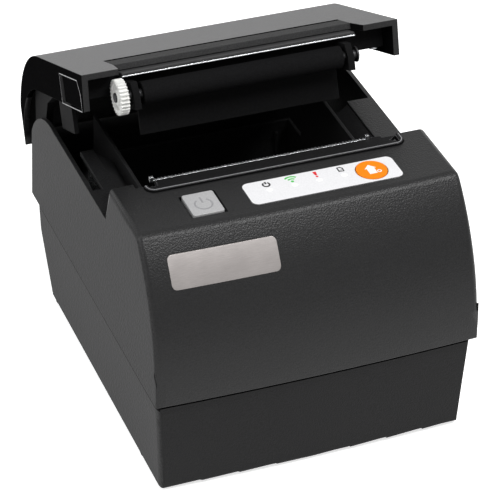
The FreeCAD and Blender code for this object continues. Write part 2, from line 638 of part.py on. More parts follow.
def make_main_board():
    board = box("main_board_sheet", ("-board_half", "board_half"),
            ("front + main_front", "front + main_back"),
                ("main_low", "main_top"))
    holes = []
    screws = []
    for side in ("-", ""):
        for spot in main_board_spots():
            where = (side + "(board_half - main_post_in)", spot)
            holes.append(rod("main_board_hole", "Z", "mech_screw_radius",
                    ("main_low - over", "main_top + over"), *where))
            shank = rod("board_screw_shank", "Z", "mech_screw_radius",
                    ("floor_top + bite", "main_top + bite"), *where)
            head = rod("board_screw_head", "Z", "mech_screw_head",
                    ("main_top", "main_top + mech_screw_head_high"), *where)
            screws.append(fuse("board_screw", shank, head))
    node("main_board", cut("main_board_cut", board, *holes))
    node("board_screws", group("board_screw_set", *screws))
    for name in SOCKETS:
        left = name + "_left"
        right = name + "_right"
        top = "main_top + %s_high" % name
        shell = box(name + "_shell", (left, right), ("front + socket_front", "front + socket_back"),
                    ("main_top", top))
        mouth = box(name + "_mouth", (left + " + socket_wall", right + " - socket_wall"),
                    ("front + socket_back - socket_deep", "front + socket_back + over"),
                    ("main_top + socket_wall", top + " - socket_wall"))
        node(name + "_socket", cut(name + "_socket_cut", shell, mouth))


def make_paper_bucket():
    def trough(name, grow, top, x):
        return prism(name, "YZ", [
            ("roll_y - roll_radius - %s" % grow, top),
            ("roll_y - roll_radius - %s" % grow, "roll_z"),
            ("roll_y", "roll_z - roll_radius - %s" % grow, "roll_radius + %s" % grow, 1),
            ("roll_y + roll_radius + %s" % grow, "roll_z", "roll_radius + %s" % grow, 1),
            ("roll_y + roll_radius + %s" % grow, top),
        ], x)
    outside = trough("bucket_outside", "bucket_wall", "wall_top",
            ("-bucket_half - bucket_wall", "bucket_half + bucket_wall"))
    inside = trough("bucket_inside", "0", "wall_top + over", ("-bucket_half", "bucket_half"))
    low_rear = box("bucket_low_rear", ("-half", "half"), ("front + bucket_rear_back", "rear + beyond"),
                   ("split + bucket_rear_rise", "wall_top + over"))
    low_front = box("bucket_low_front", ("-half", "half"),
            ("front", "roll_y - roll_radius + over"),
                    ("split + bucket_front_rise", "wall_top + over"))
    shell = cut("bucket_shell", outside, inside, low_rear, low_front)
    added = [shell]
    for index, span in enumerate(both(("leg_inner", "leg_outer"))):
        leg = box("bucket_leg_%d" % index, span, ("front + leg_front", "front + leg_back"),
                ("floor_top", "roll_z"))
        added.append(cut("bucket_leg_cut_%d" % index, leg, inside))
    for index, span in enumerate(both(("rib_half", "rib_half + rib_thick"))):
        ring = prism("bucket_rib_%d" % index, "YZ", [
            ("roll_y - roll_radius", "roll_z + rib_rise"),
            ("roll_y - roll_radius", "roll_z"),
            ("roll_y", "roll_z - roll_radius", "roll_radius", 1),
            ("roll_y + roll_radius", "roll_z", "roll_radius", 1),
            ("roll_y + roll_radius - rib_deep", "roll_z"),
            ("roll_y", "roll_z - roll_radius + rib_deep", "roll_radius - rib_deep", -1),
            ("roll_y - roll_radius + rib_deep", "roll_z", "roll_radius - rib_deep", -1),
            ("roll_y - roll_radius + rib_deep", "roll_z + rib_rise"),
        ], span)
        added.append(ring)
    for index, sign in enumerate(("-", "")):
        added.append(prism("bucket_wing_%d" % index, "XZ", [
            (sign + "wing_inner", "split + wing_low"),
            (sign + "wing_outer", "split + wing_high"),
            (sign + "wing_outer", "split + wing_high + bucket_wall"),
            (sign + "wing_inner", "split + wing_low + bucket_wall"),
        ], ("front + wing_front", "front + wing_back")))
    node("paper_bucket", fuse("bucket_solid", *added))
    node("paper_sensor", box("paper_sensor_block", ("sensor_left", "sensor_right"),
                             ("roll_y - roll_radius - bucket_wall - sensor_deep",
                                     "roll_y - roll_radius - bucket_wall"),
                             ("split + sensor_low", "split + sensor_high")))
    node("latch_keeper", box("keeper_strip", ("-keeper_outer", "-keeper_inner"),
                             ("front + keeper_front", "front + keeper_back"),
                             ("split + keeper_rise", "wall_top - deck_wall")))


def make_paper_exit():
    lip = prism("bezel_lip_block", "XY",
                rounded(("-bezel_left", "bezel_right"),
                        ("front + bezel_front", "front + bezel_back + beyond"), "bezel_round"),
                ("strip_top - strip_thick", "panel_top + bezel_lip_high"))
    inside = prism("bezel_inside", "XY",
                   rounded(("-bezel_left + bezel_lip", "bezel_right - bezel_lip"),
                           ("front + bezel_front + bezel_lip", "front + bezel_back + beyond + over"),
                                   "bezel_round - bezel_lip"),
                   ("strip_top", "panel_top + over"))
    behind = box("bezel_behind", ("-half", "half"), ("front + bezel_back", "rear"),
                 ("strip_top - beyond", "panel_top + beyond"))
    pocket = prism("bezel_pocket", "XY", [
        ("pocket_left", "front + pocket_side"),
        ("pocket_right", "front + pocket_front"),
        ("pocket_right", "front + pocket_back"),
    ], ("strip_top - strip_thick - over", "strip_top + over"))
    seat = box("tear_seat", ("-tear_left", "tear_right"),
            ("front + tear_front", "front + bezel_back + over"),
               ("strip_top - tear_thick", "strip_top + over"))
    tall = ("strip_top - beyond", "panel_top + beyond")
    gear_way = box("bezel_gear_way", ("-half", "-tear_left + bezel_gear_side"),
                   ("front + bezel_gear_back", "rear"), tall)
    lid_way = box("bezel_lid_way", ("lid_notch_half - bezel_lid_side", "half"),
                  ("front + bezel_lid_back", "rear"), tall)
    node("exit_bezel", cut("bezel_cut", lip, inside, behind, pocket, seat, gear_way, lid_way))
    count = int((value("tear_left") + value("tear_right")) / value("tear_pitch"))
    left = -value("tear_left")
    near = value("front + tear_front")
    far = value("front + tear_back")
    step = (value("tear_right") - left) / count
    points = [V(left, near, 0), V(left, far - value("tear_tooth"), 0)]
    for index in range(count):
        points.append(V(left + (index + 0.5) * step, far, 0))
        points.append(V(left + (index + 1) * step, far - value("tear_tooth"), 0))
    points.append(V(value("tear_right"), near, 0))
    points.append(points[0])
    saw = doc.addObject("Part::Feature", "tear_saw")
    saw.Shape = Part.Face(Part.makePolygon(points)).extrude(V(0, 0, value("tear_thick")))
    saw.Placement.Base = V(0, 0, value("strip_top - tear_thick"))
    ears = []
    for index, span in enumerate((("-tear_left", "-tear_left + tear_ear"),
            ("tear_right - tear_ear", "tear_right"))):
        ears.append(box("tear_ear_%d" % index, span, ("front + tear_front", "front + tear_back"),
                        ("strip_top - bite", "strip_top + tear_ear_high")))
    node("tear_bar", fuse("tear_solid", saw, *ears))


def make_control_panel():
    label = prism("label_sheet", "XY", rounded(("-label_left", "label_right"),
                                               ("front + label_front", "front + label_back"),
                                                       "label_round"),
                  ("panel_top - label_sink", "panel_top - label_sink + label_thick"))
    key_hole = rod("label_key_hole", "Z", "key_radius + key_gap",
            ("panel_top - over", "panel_top + over"),
                   "key_x", "front + key_back")
    node("control_label", cut("label_cut", label, key_hole))
    pipes = []
    for index in range(SIZES["lamp_count"]):
        pipes.append(rod("light_pipe", "Z", "lamp_radius", ("board_top", "panel_top - label_sink"),
                         "-lamp_first + lamp_pitch * %d" % index, "front + lamp_back"))
    node("led_light_pipes", group("pipes", *pipes))
    node("panel_board", box("panel_board_sheet", ("-board_left", "board_right"),
            ("front + board_front", "front + board_back"),
                            ("split + board_rise", "board_top")))
    middle = "(-(button_left + button_right) / 2)"
    across = "(front + (button_front + button_back) / 2)"
    node("power_switch", box("power_switch_block", (middle + " - switch_half",
            middle + " + switch_half"),
                             (across + " - switch_half", across + " + switch_half"),
                             ("board_top", "split + button_low - switch_gap")))
    node("feed_switch", box("feed_switch_block", ("key_x - feed_switch_half",
            "key_x + feed_switch_half"),
                            ("front + key_back - feed_switch_half",
                                    "front + key_back + feed_switch_half"),
                            ("board_top", "split + key_low - feed_switch_gap")))
    cap = prism("button_cap", "XY", rounded(("-button_left", "-button_right"),
                                            ("front + button_front", "front + button_back"),
                                                    "button_round"),
                ("split + button_low", "panel_top + button_proud"))
    flange = box("button_flange_block", ("-button_left - button_flange",
            "-button_right + button_flange"),
                 ("front + button_front - button_flange", "front + button_back + button_flange"),
                 ("split + button_low", "split + button_low + button_skirt"))
    node("power_button", fuse("button_solid", cap, flange))
    node("feed_key", rod("feed_key_disc", "Z", "key_radius",
            ("split + key_low", "panel_top + key_proud"),
                         "key_x", "front + key_back"))
    node("nameplate", nameplate_form("nameplate_solid"))


def gear(name, teeth, module, span, centre, aim, bore, recess=False):
    """A spur gear on an X axis; a tooth points along aim, an angle in degrees from +Y towards +Z."""
    pitch = teeth * module / 2
    shapes = (
        (pitch - SIZES["root_depth"] * module, SIZES["root_share"]),
        (pitch, SIZES["pitch_share"]),
        (pitch + SIZES["tip_height"] * module, SIZES["tip_share"]),
    )
    points = []
    for index in range(teeth):
        for radius, share in shapes:
            points.append((radius, index - share))
        for radius, share in reversed(shapes):
            points.append((radius, index + share))
    ring = []
    for radius, turn in points:
        angle = math.radians(aim) + 2 * math.pi * turn / teeth
        ring.append(V(0, radius * math.cos(angle), radius * math.sin(angle)))
    ring.append(ring[0])
    width = value(span[1]) - value(span[0])
    blank = Part.Face(Part.makePolygon(ring)).extrude(V(width, 0, 0))
    blank = blank.cut(Part.makeCylinder(value(bore), width, V(), V(1, 0, 0)))
    if recess:
        deep = value("web_recess")
        dish = Part.makeCylinder(pitch - value("web_rim"), deep, V(), V(1, 0, 0))
        dish = dish.cut(Part.makeCylinder(value("web_hub"), deep, V(), V(1, 0, 0)))
        blank = blank.cut(dish)
    thing = doc.addObject("Part::Feature", name)
    thing.Shape = blank
    thing.Placement.Base = V(value(span[0]), value(centre[0]), value(centre[1]))
    return thing


GEAR_SPAN = ("-gear_far", "-gear_near")
HALF_TURN = 180


def make_feed_train():
    module = SIZES["gear_module"]
    idler_aim = SIZES["idler_angle"]
    pinion_aim = SIZES["pinion_angle"]
    drive = gear("drive_wheel", SIZES["drive_teeth"], module, GEAR_SPAN, ("drive_y", "drive_z"),
            idler_aim,
                 "post_radius + running_gap")
    node("drive_gear", drive)
    idler_pitch = 2 * HALF_TURN / SIZES["idler_teeth"]
    idler_phase = idler_aim + HALF_TURN + idler_pitch / 2
    idler = gear("idler_wheel", SIZES["idler_teeth"], module, GEAR_SPAN, ("idler_y", "idler_z"),
            idler_phase,
                 "post_radius + running_gap")
    node("idler_gear", idler)
    off_tooth = (pinion_aim - idler_phase) / idler_pitch
    lead = (off_tooth - math.floor(off_tooth)) * SIZES["idler_teeth"] / SIZES["pinion_teeth"] * idler_pitch
    pinion = gear("pinion_wheel", SIZES["pinion_teeth"], module, GEAR_SPAN, ("pinion_y", "pinion_z"),
                  pinion_aim + HALF_TURN + HALF_TURN / SIZES["pinion_teeth"] + lead, "spindle_radius")
    spindle = rod("pinion_spindle", "X", "spindle_radius", ("-gear_far", "-plate_inner - spindle_gap"),
            "pinion_y", "pinion_z")
    node("motor_pinion", fuse("pinion_solid", pinion, spindle))
    posts = []
    for where in (("drive_y", "drive_z"), ("idler_y", "idler_z")):
        post = rod("gear_post_bar", "X", "post_radius", ("-post_end", "-plate_inner"), *where)
        collar = rod("gear_post_collar", "X", "post_radius + collar_step",
                ("-post_end", "-gear_far - collar_gap"), *where)
        posts.append(fuse("gear_post", post, collar))
    node("gear_posts", group("posts", *posts))
    can = rod("feed_motor_can", "X", "motor_radius", ("-plate_inner", "-plate_inner + motor_long"),
            "pinion_y", "pinion_z")
    nose = rod("feed_motor_nose", "X", "motor_nose",
            ("-plate_inner - motor_nose_long", "-plate_inner + over"),
               "pinion_y", "pinion_z")
    way = rod("feed_motor_way", "X", "spindle_hole", ("-plate_inner - over", "-plate_inner + bite"),
            "pinion_y", "pinion_z")
    node("feed_motor", cut("feed_motor_cut", fuse("feed_motor_solid", can, nose), way))


def make_mechanism():
    def side_plate(name, span):
        return prism(name, "YZ", [
            ("front + frame_front", "frame_low"),
            ("front + frame_back", "frame_low"),
            ("front + frame_back", "split + frame_low_rise"),
            ("front + frame_top_back", "split + frame_top_rise"),
            ("front + frame_top_front", "split + frame_top_rise"),
            ("front + frame_front", "split + frame_nose_rise"),
        ], span)
    added = []
    for index, span in enumerate(both(("plate_inner", "plate_inner + plate_thick"))):
        added.append(side_plate("mech_plate_%d" % index, span))
    added.append(box("mech_floor", ("-plate_inner - bite", "plate_inner + bite"),
            ("front + frame_front", "front + frame_back"),
                     ("frame_low", "frame_low + plate_thick")))
    added.append(box("mech_bar", ("-plate_inner - bite", "bar_right"),
            ("front + bar_back", "front + bar_back + plate_thick"),
                     ("split + bar_low", "split + bar_high")))
    holes = [
        rod("pivot_hole", "X", "pin_radius", ("-plate_inner - beyond", "plate_inner + beyond"),
                "pivot_y", "pivot_z"),
        rod("motor_nose_hole", "X", "motor_nose", ("-plate_inner - beyond", "-plate_inner + over"),
                "pinion_y", "pinion_z"),
    ]
    for where in (("drive_y", "drive_z"), ("idler_y", "idler_z")):
        holes.append(rod("post_hole", "X", "post_radius",
                ("-plate_inner - beyond", "-plate_inner + over"), *where))
    screws = []
    for side in ("-", ""):
        for spot in ("post_front", "post_back"):
            where = (side + "post_x", "front + " + spot)
            holes.append(rod("mech_screw_way", "Z", "mech_screw_radius",
                    ("frame_low - over", "frame_low + beyond"), *where))
            top = "frame_low + plate_thick"
            shank = rod("mech_screw_shank", "Z", "mech_screw_radius",
                    ("frame_low - mech_screw_deep", top + " + bite"), *where)
            head = rod("mech_screw_cap", "Z", "mech_screw_head", (top, top + " + mech_screw_head_high"),
                    *where)
            screws.append(fuse("mech_screw", shank, head))
    node("mechanism_frame", cut("mech_cut", fuse("mech_solid", *added), *holes))
    node("mechanism_screws", group("mech_screw_set", *screws))
    node("head_pivot_pin", rod("pivot_bar", "X", "pin_radius",
            ("-plate_inner - plate_thick", "plate_inner + plate_thick"),
                               "pivot_y", "pivot_z"))
    sink = box("head_block", ("-head_half", "head_half"), ("front + head_front", "front + head_back"),
               ("split + head_low", "split + head_high"))
    bore = rod("head_bore", "X", "pin_radius + running_gap", ("-half", "half"), "pivot_y", "pivot_z")
    node("head_heatsink", cut("head_cut", sink, bore))
    node("head_ceramic", box("ceramic_strip", ("-ceramic_half", "ceramic_half"),
                             ("front + head_back", "front + head_back + ceramic_thick"),
                             ("split + ceramic_low", "split + head_high")))
    springs = []
    for side in ("-spring_off", "spring_off"):
        springs.append(rod("head_spring", "Y", "spring_radius",
                           ("front + bar_back + plate_thick", "front + head_front - spring_gap"), side,
                                   "split + spring_rise"))
    node("head_springs", group("spring_set", *springs))


def make_cutter():
    bed = box("cutter_bed", ("-plate_inner", "plate_inner"),
            ("front + cutter_front", "front + cutter_back"),
              ("split + cutter_low", "split + cutter_high"))
    ear = box("cutter_ear", ("cutter_ear_left", "plate_inner"),
            ("front + cutter_ear_front", "front + cutter_back"),
              ("split + cutter_low", "split + cutter_high"))
    hole = rod("cutter_spindle_hole", "Z", "spindle_hole",
            ("split + cutter_low - over", "split + cutter_high + over"),
               "cutter_x", "cutter_y")
    node("cutter_frame", cut("cutter_cut", fuse("cutter_solid", bed, ear), hole))
    node("cutter_motor", rod("cutter_can", "Z", "cutter_motor_radius",
            ("split + cutter_motor_low", "split + cutter_low"),
                             "cutter_x", "cutter_y"))
    knife = box("knife_plate", ("-blade_half", "blade_half"),
            ("front + blade_front", "front + blade_back"),
                ("split + blade_low", "split + blade_high"))
    bar = box("rack_bar", ("rack_inner", "rack_outer"), ("front + rack_front", "front + rack_back"),
              ("split + blade_low", "split + blade_high"))
    link = box("rack_link", ("blade_half - over", "rack_outer"),
            ("front + blade_front", "front + rack_back"),
               ("split + blade_low", "split + blade_high"))
    module = SIZES["cutter_module"]
    pitch = math.pi * module
    line = value("rack_inner") - module
    profile = (
        (value("rack_inner + skim"), SIZES["root_share"] * pitch),
        (line, SIZES["pitch_share"] * pitch),
        (line - SIZES["tip_height"] * module, SIZES["tip_share"] * pitch),
    )
    first = value("front + rack_front") + pitch / 2
    last = value("front + blade_front")
    before = math.floor((value("cutter_y") - first) / pitch - 0.5)
    at = value("cutter_y") - (before + 0.5) * pitch
    teeth = []
    while at + pitch / 2 < last:
        points = [V(x, at - half_width, 0) for x, half_width in profile]
        points += [V(x, at + half_width, 0) for x, half_width in reversed(profile)]
        points.append(points[0])
        tooth = doc.addObject("Part::Feature", "rack_tooth")
        tooth.Shape = Part.Face(Part.makePolygon(points)).extrude(V(0, 0,
                value("blade_high - blade_low")))
        tooth.Placement.Base = V(0, 0, value("split + blade_low"))
        teeth.append(tooth)
        at += pitch
    node("moving_blade", fuse("blade_solid", knife, bar, link, *teeth))
    wheel = gear("cutter_wheel", SIZES["cutter_teeth"], module, ("0", "blade_high - blade_low"),
            ("0", "0"), -90, "spindle_radius")
    wheel.Placement = FreeCAD.Placement(V(value("cutter_x"), value("cutter_y"),
            value("split + blade_low")),
                                        FreeCAD.Rotation(V(0, 1, 0), -90))
    spindle = rod("cutter_spindle", "Z", "spindle_radius",
            ("split + cutter_low + spindle_gap", "split + blade_high"),
                  "cutter_x", "cutter_y")
    node("cutter_pinion", fuse("cutter_pinion_solid", wheel, spindle))


def make_lid():
    outline = prism("lid_side_form", "YZ", [
        ("front + panel_back + lid_gap", "panel_top"),
        ("lid_rear - lid_round", "panel_top"),
        ("lid_rear", "panel_top - lid_round", "lid_round", -1),
        ("lid_rear", "split + lid_tip_rise"),
        ("front + notch_back + lid_gap", "split + lid_tip_rise"),
        ("front + notch_back + lid_gap", "wall_top + lid_gap"),
    ], ("-half - over", "half + over"))
    plan = prism("lid_plan_form", "XY", rounded(("-half", "half"), ("front", "lid_rear"), "rear_round"),
                 ("split", "panel_top + over"), "-side_draft")
    outside = common("lid_outside", outline, plan)
    hollow_outline = prism("lid_hollow_side", "YZ", [
        ("front + panel_back - beyond", "skin_under"),
        ("lid_rear - lid_round", "skin_under"),
        ("lid_rear - lid_wall", "panel_top - lid_round", "lid_round - lid_wall", -1),
        ("lid_rear - lid_wall", "split"),
        ("front + panel_back - beyond", "split"),
    ], ("-half - over", "half + over"))
    hollow_plan = prism("lid_hollow_plan", "XY",
                        rounded(("-half + lid_wall", "half - lid_wall"),
                                ("front", "lid_rear - lid_wall"), "rear_round - lid_wall"),
                        ("split - over", "panel_top"), "-side_draft")
    notch = prism("lid_notch", "XY", [
        ("-lid_notch_half - lid_notch_flare", "front + panel_back - beyond"),
        ("lid_notch_half + lid_notch_flare", "front + panel_back - beyond"),
        ("lid_notch_half", "front + lid_notch_back"),
        ("-lid_notch_half", "front + lid_notch_back"),
    ], ("skin_under - over", "panel_top + over"))
    tools = [common("lid_hollow", hollow_outline, hollow_plan), notch]
    for index, span in enumerate(both(("half - case_wall - side_lean - lid_gap", "half + over"))):
        tools.append(prism("lid_wall_edge_%d" % index, "YZ", [
            ("front + panel_back", "wall_top + lid_gap"),
            ("front + panel_back", "split"),
            ("rear + beyond", "split"),
            ("rear + beyond", "arch_low"),
            ("rear + lid_gap", "arch_low"),
            ("arch_back", "wall_top + lid_gap", "arch_radius + lid_gap", 1),
        ], span))
    for index, span in enumerate(both(("half - side_lean - grip_depth", "half + over"))):
        tools.append(prism("lid_grip_%d" % index, "YZ", [
            ("front + grip_front", "wall_top"),
            ("front + grip_back", "wall_top"),
            ("front + grip_back", "split + grip_high"),
            ("front + grip_corner_back", "split + grip_high"),
            ("front + grip_front", "split + grip_corner_rise"),
        ], span))
    lid_node("lid_cover", cut("lid_cover_cut", outside, *tools))


BRACKETS = (
    ("-left_bracket - bracket_thick", "-left_bracket"),
    ("right_bracket", "right_bracket + bracket_thick"),
)


def make_lid_frame():
    added = [box("lid_cross", ("-arm_outer", "arm_outer"),
            ("front + cross_back", "front + cross_back + cross_thick"),
                 ("split + cross_rise", "skin_under"))]
    for index, span in enumerate(both(("arm_inner", "arm_outer"))):
        added.append(prism("lid_arm_%d" % index, "YZ", [
            ("front + cross_back", "skin_under"),
            ("lid_rear - lid_round", "skin_under"),
            ("front + arm_knee_back", "split + arm_knee_rise"),
            ("front + arm_heel_back", "split + arm_heel_rise"),
            ("hinge_y + arm_toe", "hinge_z + arm_toe_rise"),
            ("hinge_y - arm_toe", "hinge_z - arm_toe_rise"),
            ("front + arm_root_back", "split + arm_root_rise"),
            ("front + arm_belly_back", "split + arm_belly_rise"),
            ("front + arm_seat_back", "split + arm_seat_rise"),
            ("front + arm_step_back", "split + arm_seat_rise"),
            ("front + arm_nose_back", "split + cross_rise"),
            ("front + cross_back", "split + cross_rise"),
        ], span))
        added.append(rod("lid_boss_%d" % index, "X", "arm_boss", span, "hinge_y", "hinge_z"))
    added.append(box("lid_tab", ("-arm_outer", "-tab_inner"), ("front + tab_front", "front + tab_back"),
                     ("split + tab_rise", "split + tab_top")))
    for index, span in enumerate(BRACKETS):
        added.append(prism("platen_bracket_%d" % index, "YZ", [
            ("front + bracket_front", "split + bracket_low"),
            ("front + bracket_heel", "split + bracket_low"),
            ("front + cross_back + cross_thick", "split + cross_rise"),
            ("front + cross_back + cross_thick", "split + bracket_high"),
            ("front + bracket_top_front", "split + bracket_high"),
            ("front + bracket_front", "split + bracket_cheek"),
        ], span))
    holes = []
    for index, span in enumerate(both(("arm_inner - over", "arm_outer + over"))):
        holes.append(rod("arm_bore_%d" % index, "X", "pin_radius + running_gap", span, "hinge_y",
                "hinge_z"))
    holes.append(rod("bush_bore", "X", "bush_radius", ("-left_bracket - beyond", "right_bracket + beyond"),
            "platen_y", "platen_z"))
    screws = []
    for side in ("-", ""):
        for spot in ("lid_screw_front", "lid_screw_back"):
            where = (side + "(arm_inner + arm_outer) / 2", "front + " + spot)
            holes.append(rod("lid_screw_hole", "Z", "lid_screw_radius",
                    ("split + cross_rise - over", "skin_under + over"), *where))
            shank = rod("lid_screw_shank", "Z", "lid_screw_radius",
                    ("split + cross_rise - bite", "skin_under"), *where)
            head = rod("lid_screw_cap", "Z", "lid_screw_head",
                       ("split + cross_rise - lid_screw_head_high", "split + cross_rise"), *where)
            screws.append(fuse("lid_screw", shank, head))
    lid_node("lid_frame", cut("lid_frame_cut", fuse("lid_frame_solid", *added), *holes))
    lid_node("lid_screws", group("lid_screw_set", *screws))
    lid_node("exit_lip", box("exit_lip_bar", ("-lip_half", "lip_half"),
            ("front + lip_front", "front + cross_back"),
                             ("split + lip_low", "split + lip_high")))
    lid_node("fixed_blade", box("fixed_blade_bar", ("-lip_half", "lip_half"),
                                ("front + fixed_blade_front", "front + cross_back"),
                                ("split + fixed_blade_low", "split + lip_low")))
    lid_node("paper_guide", box("paper_guide_plate", ("-guide_half", "guide_half"),
                                ("front + cross_back", "front + cross_back + cross_thick"),
                                ("split + guide_low", "split + cross_rise")))


def make_platen():
    bushes = []
    for index, (low, high) in enumerate(BRACKETS):
        ring = rod("bush_ring_%d" % index, "X", "bush_radius", (low, high), "platen_y", "platen_z")
        bore = rod("bush_hole_%d" % index, "X", "shaft_radius + running_gap", ("-half", "half"),
                "platen_y", "platen_z")
        bushes.append(cut("platen_bush_%d" % index, ring, bore))
    lid_node("platen_bushes", group("bush_set", *bushes))
    lid_node("platen_shaft", rod("platen_bar", "X", "shaft_radius", ("-shaft_left", "shaft_right"),
            "platen_y", "platen_z"))
    sleeve = rod("roller_sleeve", "X", "roller_radius", ("-roller_left", "roller_right"), "platen_y",
            "platen_z")
    core = rod("roller_core", "X", "shaft_radius", ("-half", "half"), "platen_y", "platen_z")
    lid_node("platen_roller", cut("roller_cut", sleeve, core))
    clip = rod("clip_ring", "X", "clip_radius", ("clip_left", "clip_left + clip_thick"), "platen_y",
            "platen_z")
    clip_hole = rod("clip_hole", "X", "shaft_radius", ("-half", "half"), "platen_y", "platen_z")
    lid_node("platen_clip", cut("clip_cut", clip, clip_hole))
    lid_node("platen_gear", gear("platen_wheel", SIZES["platen_teeth"], SIZES["gear_module"], GEAR_SPAN,
                                 ("platen_y", "platen_z"), 90, "shaft_radius", True))


def make_hinge_pins():
    pins = []
    for span in both(("lug_inner", "half - case_wall + pin_in_wall")):
        pins.append(rod("hinge_pin", "X", "pin_radius", span, "hinge_y", "hinge_z"))
    node("hinge_pins", group("pin_set", *pins))


make_base_case()
make_base_fittings()
make_main_board()
make_upper_case()
make_paper_bucket()
make_paper_exit()
make_control_panel()
make_feed_train()
make_mechanism()
make_cutter()
make_hinge_pins()
make_lid()
make_lid_frame()
make_platen()
doc.recompute()

failed = [item.Name for item in doc.Objects if "Invalid" in item.State or "Error" in item.State]
for piece in NODES:
    if piece.Shape.isNull() or not piece.Shape.isValid():
        failed.append(piece.Label)
if failed:
    raise RuntimeError("failed pieces: " + ", ".join(failed))
os.makedirs("parts", exist_ok=True)
for piece in NODES:
    piece.Shape.exportStep(os.path.join("parts", piece.Label + ".step"))
print("nodes", len(NODES))
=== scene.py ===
import json
import math

import bmesh
import bpy
from mathutils import Matrix, Vector


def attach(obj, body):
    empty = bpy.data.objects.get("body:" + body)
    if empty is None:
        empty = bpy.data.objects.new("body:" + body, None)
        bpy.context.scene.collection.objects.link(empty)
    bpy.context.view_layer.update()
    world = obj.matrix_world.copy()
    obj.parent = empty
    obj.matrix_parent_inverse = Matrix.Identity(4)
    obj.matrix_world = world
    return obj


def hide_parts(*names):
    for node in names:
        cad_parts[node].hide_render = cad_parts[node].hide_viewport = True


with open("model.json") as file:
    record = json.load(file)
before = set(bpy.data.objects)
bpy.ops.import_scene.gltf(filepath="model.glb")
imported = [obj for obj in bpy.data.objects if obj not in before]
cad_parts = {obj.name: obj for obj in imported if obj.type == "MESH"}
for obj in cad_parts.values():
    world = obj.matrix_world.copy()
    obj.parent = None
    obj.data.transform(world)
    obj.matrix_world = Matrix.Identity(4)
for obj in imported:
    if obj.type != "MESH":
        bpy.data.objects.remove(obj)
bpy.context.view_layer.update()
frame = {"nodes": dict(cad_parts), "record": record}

# Lengths are in millimetres, but for the floor, the lamps and the camera's near end, which are in metres
MM = 0.001
FRONT = -87.75
SPLIT = 46.5
FRONT_LEAN = 26.5
FRONT_RISE = 65.2
PANEL = SPLIT + FRONT_RISE
CREASE = FRONT + FRONT_LEAN
HINGE_BACK = FRONT + 160.4
HINGE_UP = SPLIT + 4.5
HINGE = Vector((0, HINGE_BACK, HINGE_UP))
LID_OPEN = math.radians(-23.1)
OPEN_TURN = Matrix.Rotation(LID_OPEN, 3, "X")
SHUT_TURN = OPEN_TURN.transposed()
BODY_OF = {node: body for body, nodes in frame["record"]["behaviour"]["bodies"].items() for node in nodes}
SLOT_OF = {row["node"]: row["material_slot"] for row in frame["record"]["subparts"]}


# Materials

NOISE_DETAIL = 2
CLOUD_SIZE = 25
CLOUD_TONE = 0.03
SPECK_SPAN = (0.35, 0.65)
GLOSS_SWING = 0.04
CELL_RATIO = 1.4
GRAIN_HEIGHT = 0.12
EDGE_SPAN = (0.75, 0.98)
BRUSH_SIZE = 0.12
BRUSH_DETAIL = 4
BRUSH_GLOSS = (-0.08, 0.1)
BRUSH_HEIGHT = 0.02
BRUSH_WEAR = 0.5
BRUSH_PALE = 1.25
BLOTCH_SIZE = 9
BLOTCH_TONES = (0.9, 1.05)
STREAK_SHARE = 0.5
STREAK_TONE = 0.7
MOTTLE_SIZE = 0.5
MOTTLE_DETAIL = 3
MOTTLE_TONES = (0.94, 1.04)
INK_GLOSS_SIZE = 2.5
INK_GLOSS = (-0.05, 0.08)
INK_DEPTH = 0.06
INK_HEIGHT = 0.02
TRACK_SCALE = 320.0
TRACK_GAP = 0.04
TRACK_DEPTH = 0.2
TRACK_HEIGHT = 0.04
MASK_DARK = (0.01, 0.12, 0.04)
MASK_LIGHT = (0.03, 0.25, 0.09)
PAD_SCALE = 260.0
PAD_SPAN = (0.1, 0.14)
PAD_METAL = (0.62, 0.6, 0.55)
BOARD_BLOTCH = 3
BOARD_GLOSS = (0.3, 0.45)


def shader(name):
    """A new material with its node tree, its surface shader and its object coordinates."""
    made = bpy.data.materials.new(name)
    made.use_nodes = True
    tree = made.node_tree
    surface = tree.nodes["Principled BSDF"]
    place = tree.nodes.new("ShaderNodeTexCoord").outputs["Object"]
    return made, tree, surface, place


def add(tree, kind, **inputs):
    """A new shader node whose inputs are set or linked by name."""
    node = tree.nodes.new(kind)
    for key, item in inputs.items():
        socket = node.inputs[key.replace("_", " ")]
        if hasattr(item, "is_output"):
            tree.links.new(item, socket)
        else:
            socket.default_value = item
    return node


def noise(tree, place, size, detail=NOISE_DETAIL, stretch=(1, 1, 1)):
    """Noise whose blotches are about size millimetres across, before the stretch on each axis."""
    scaled = add(tree, "ShaderNodeMapping", Vector=place, Scale=stretch)
    made = add(tree, "ShaderNodeTexNoise", Vector=scaled.outputs["Vector"], Scale=1 / (size * MM),
               Detail=detail)
    return made.outputs["Fac"]


def spread(tree, source, low, high, start=0.3, end=0.7):
    """A value moved from the span between start and end to the span between low and high."""
    made = add(tree, "ShaderNodeMapRange", Value=source)
    made.inputs["From Min"].default_value = start
    made.inputs["From Max"].default_value = end
    made.inputs["To Min"].default_value = low
    made.inputs["To Max"].default_value = high
    return made.outputs["Result"]


def tint(tree, share, first, second):
    """A colour between two, by a share from 0 to 1."""
    made = tree.nodes.new("ShaderNodeMix")
    made.data_type = "RGBA"
    tree.links.new(share, made.inputs["Factor"])
    colours = [socket for socket in made.inputs if socket.type == "RGBA"]
    for socket, item in zip(colours, (first, second)):
        if hasattr(item, "is_output"):
            tree.links.new(item, socket)
        else:
            socket.default_value = (*item, 1)
    return [socket for socket in made.outputs if socket.type == "RGBA"][0]


def sum_of(tree, first, second):
    """Two values added."""
    made = tree.nodes.new("ShaderNodeMath")
    made.operation = "ADD"
    tree.links.new(first, made.inputs[0])
    tree.links.new(second, made.inputs[1])
    return made.outputs["Value"]


def scaled_colour(colour, factor):
    """A colour made lighter or darker by a factor."""
    return tuple(min(1.0, part * factor) for part in colour)


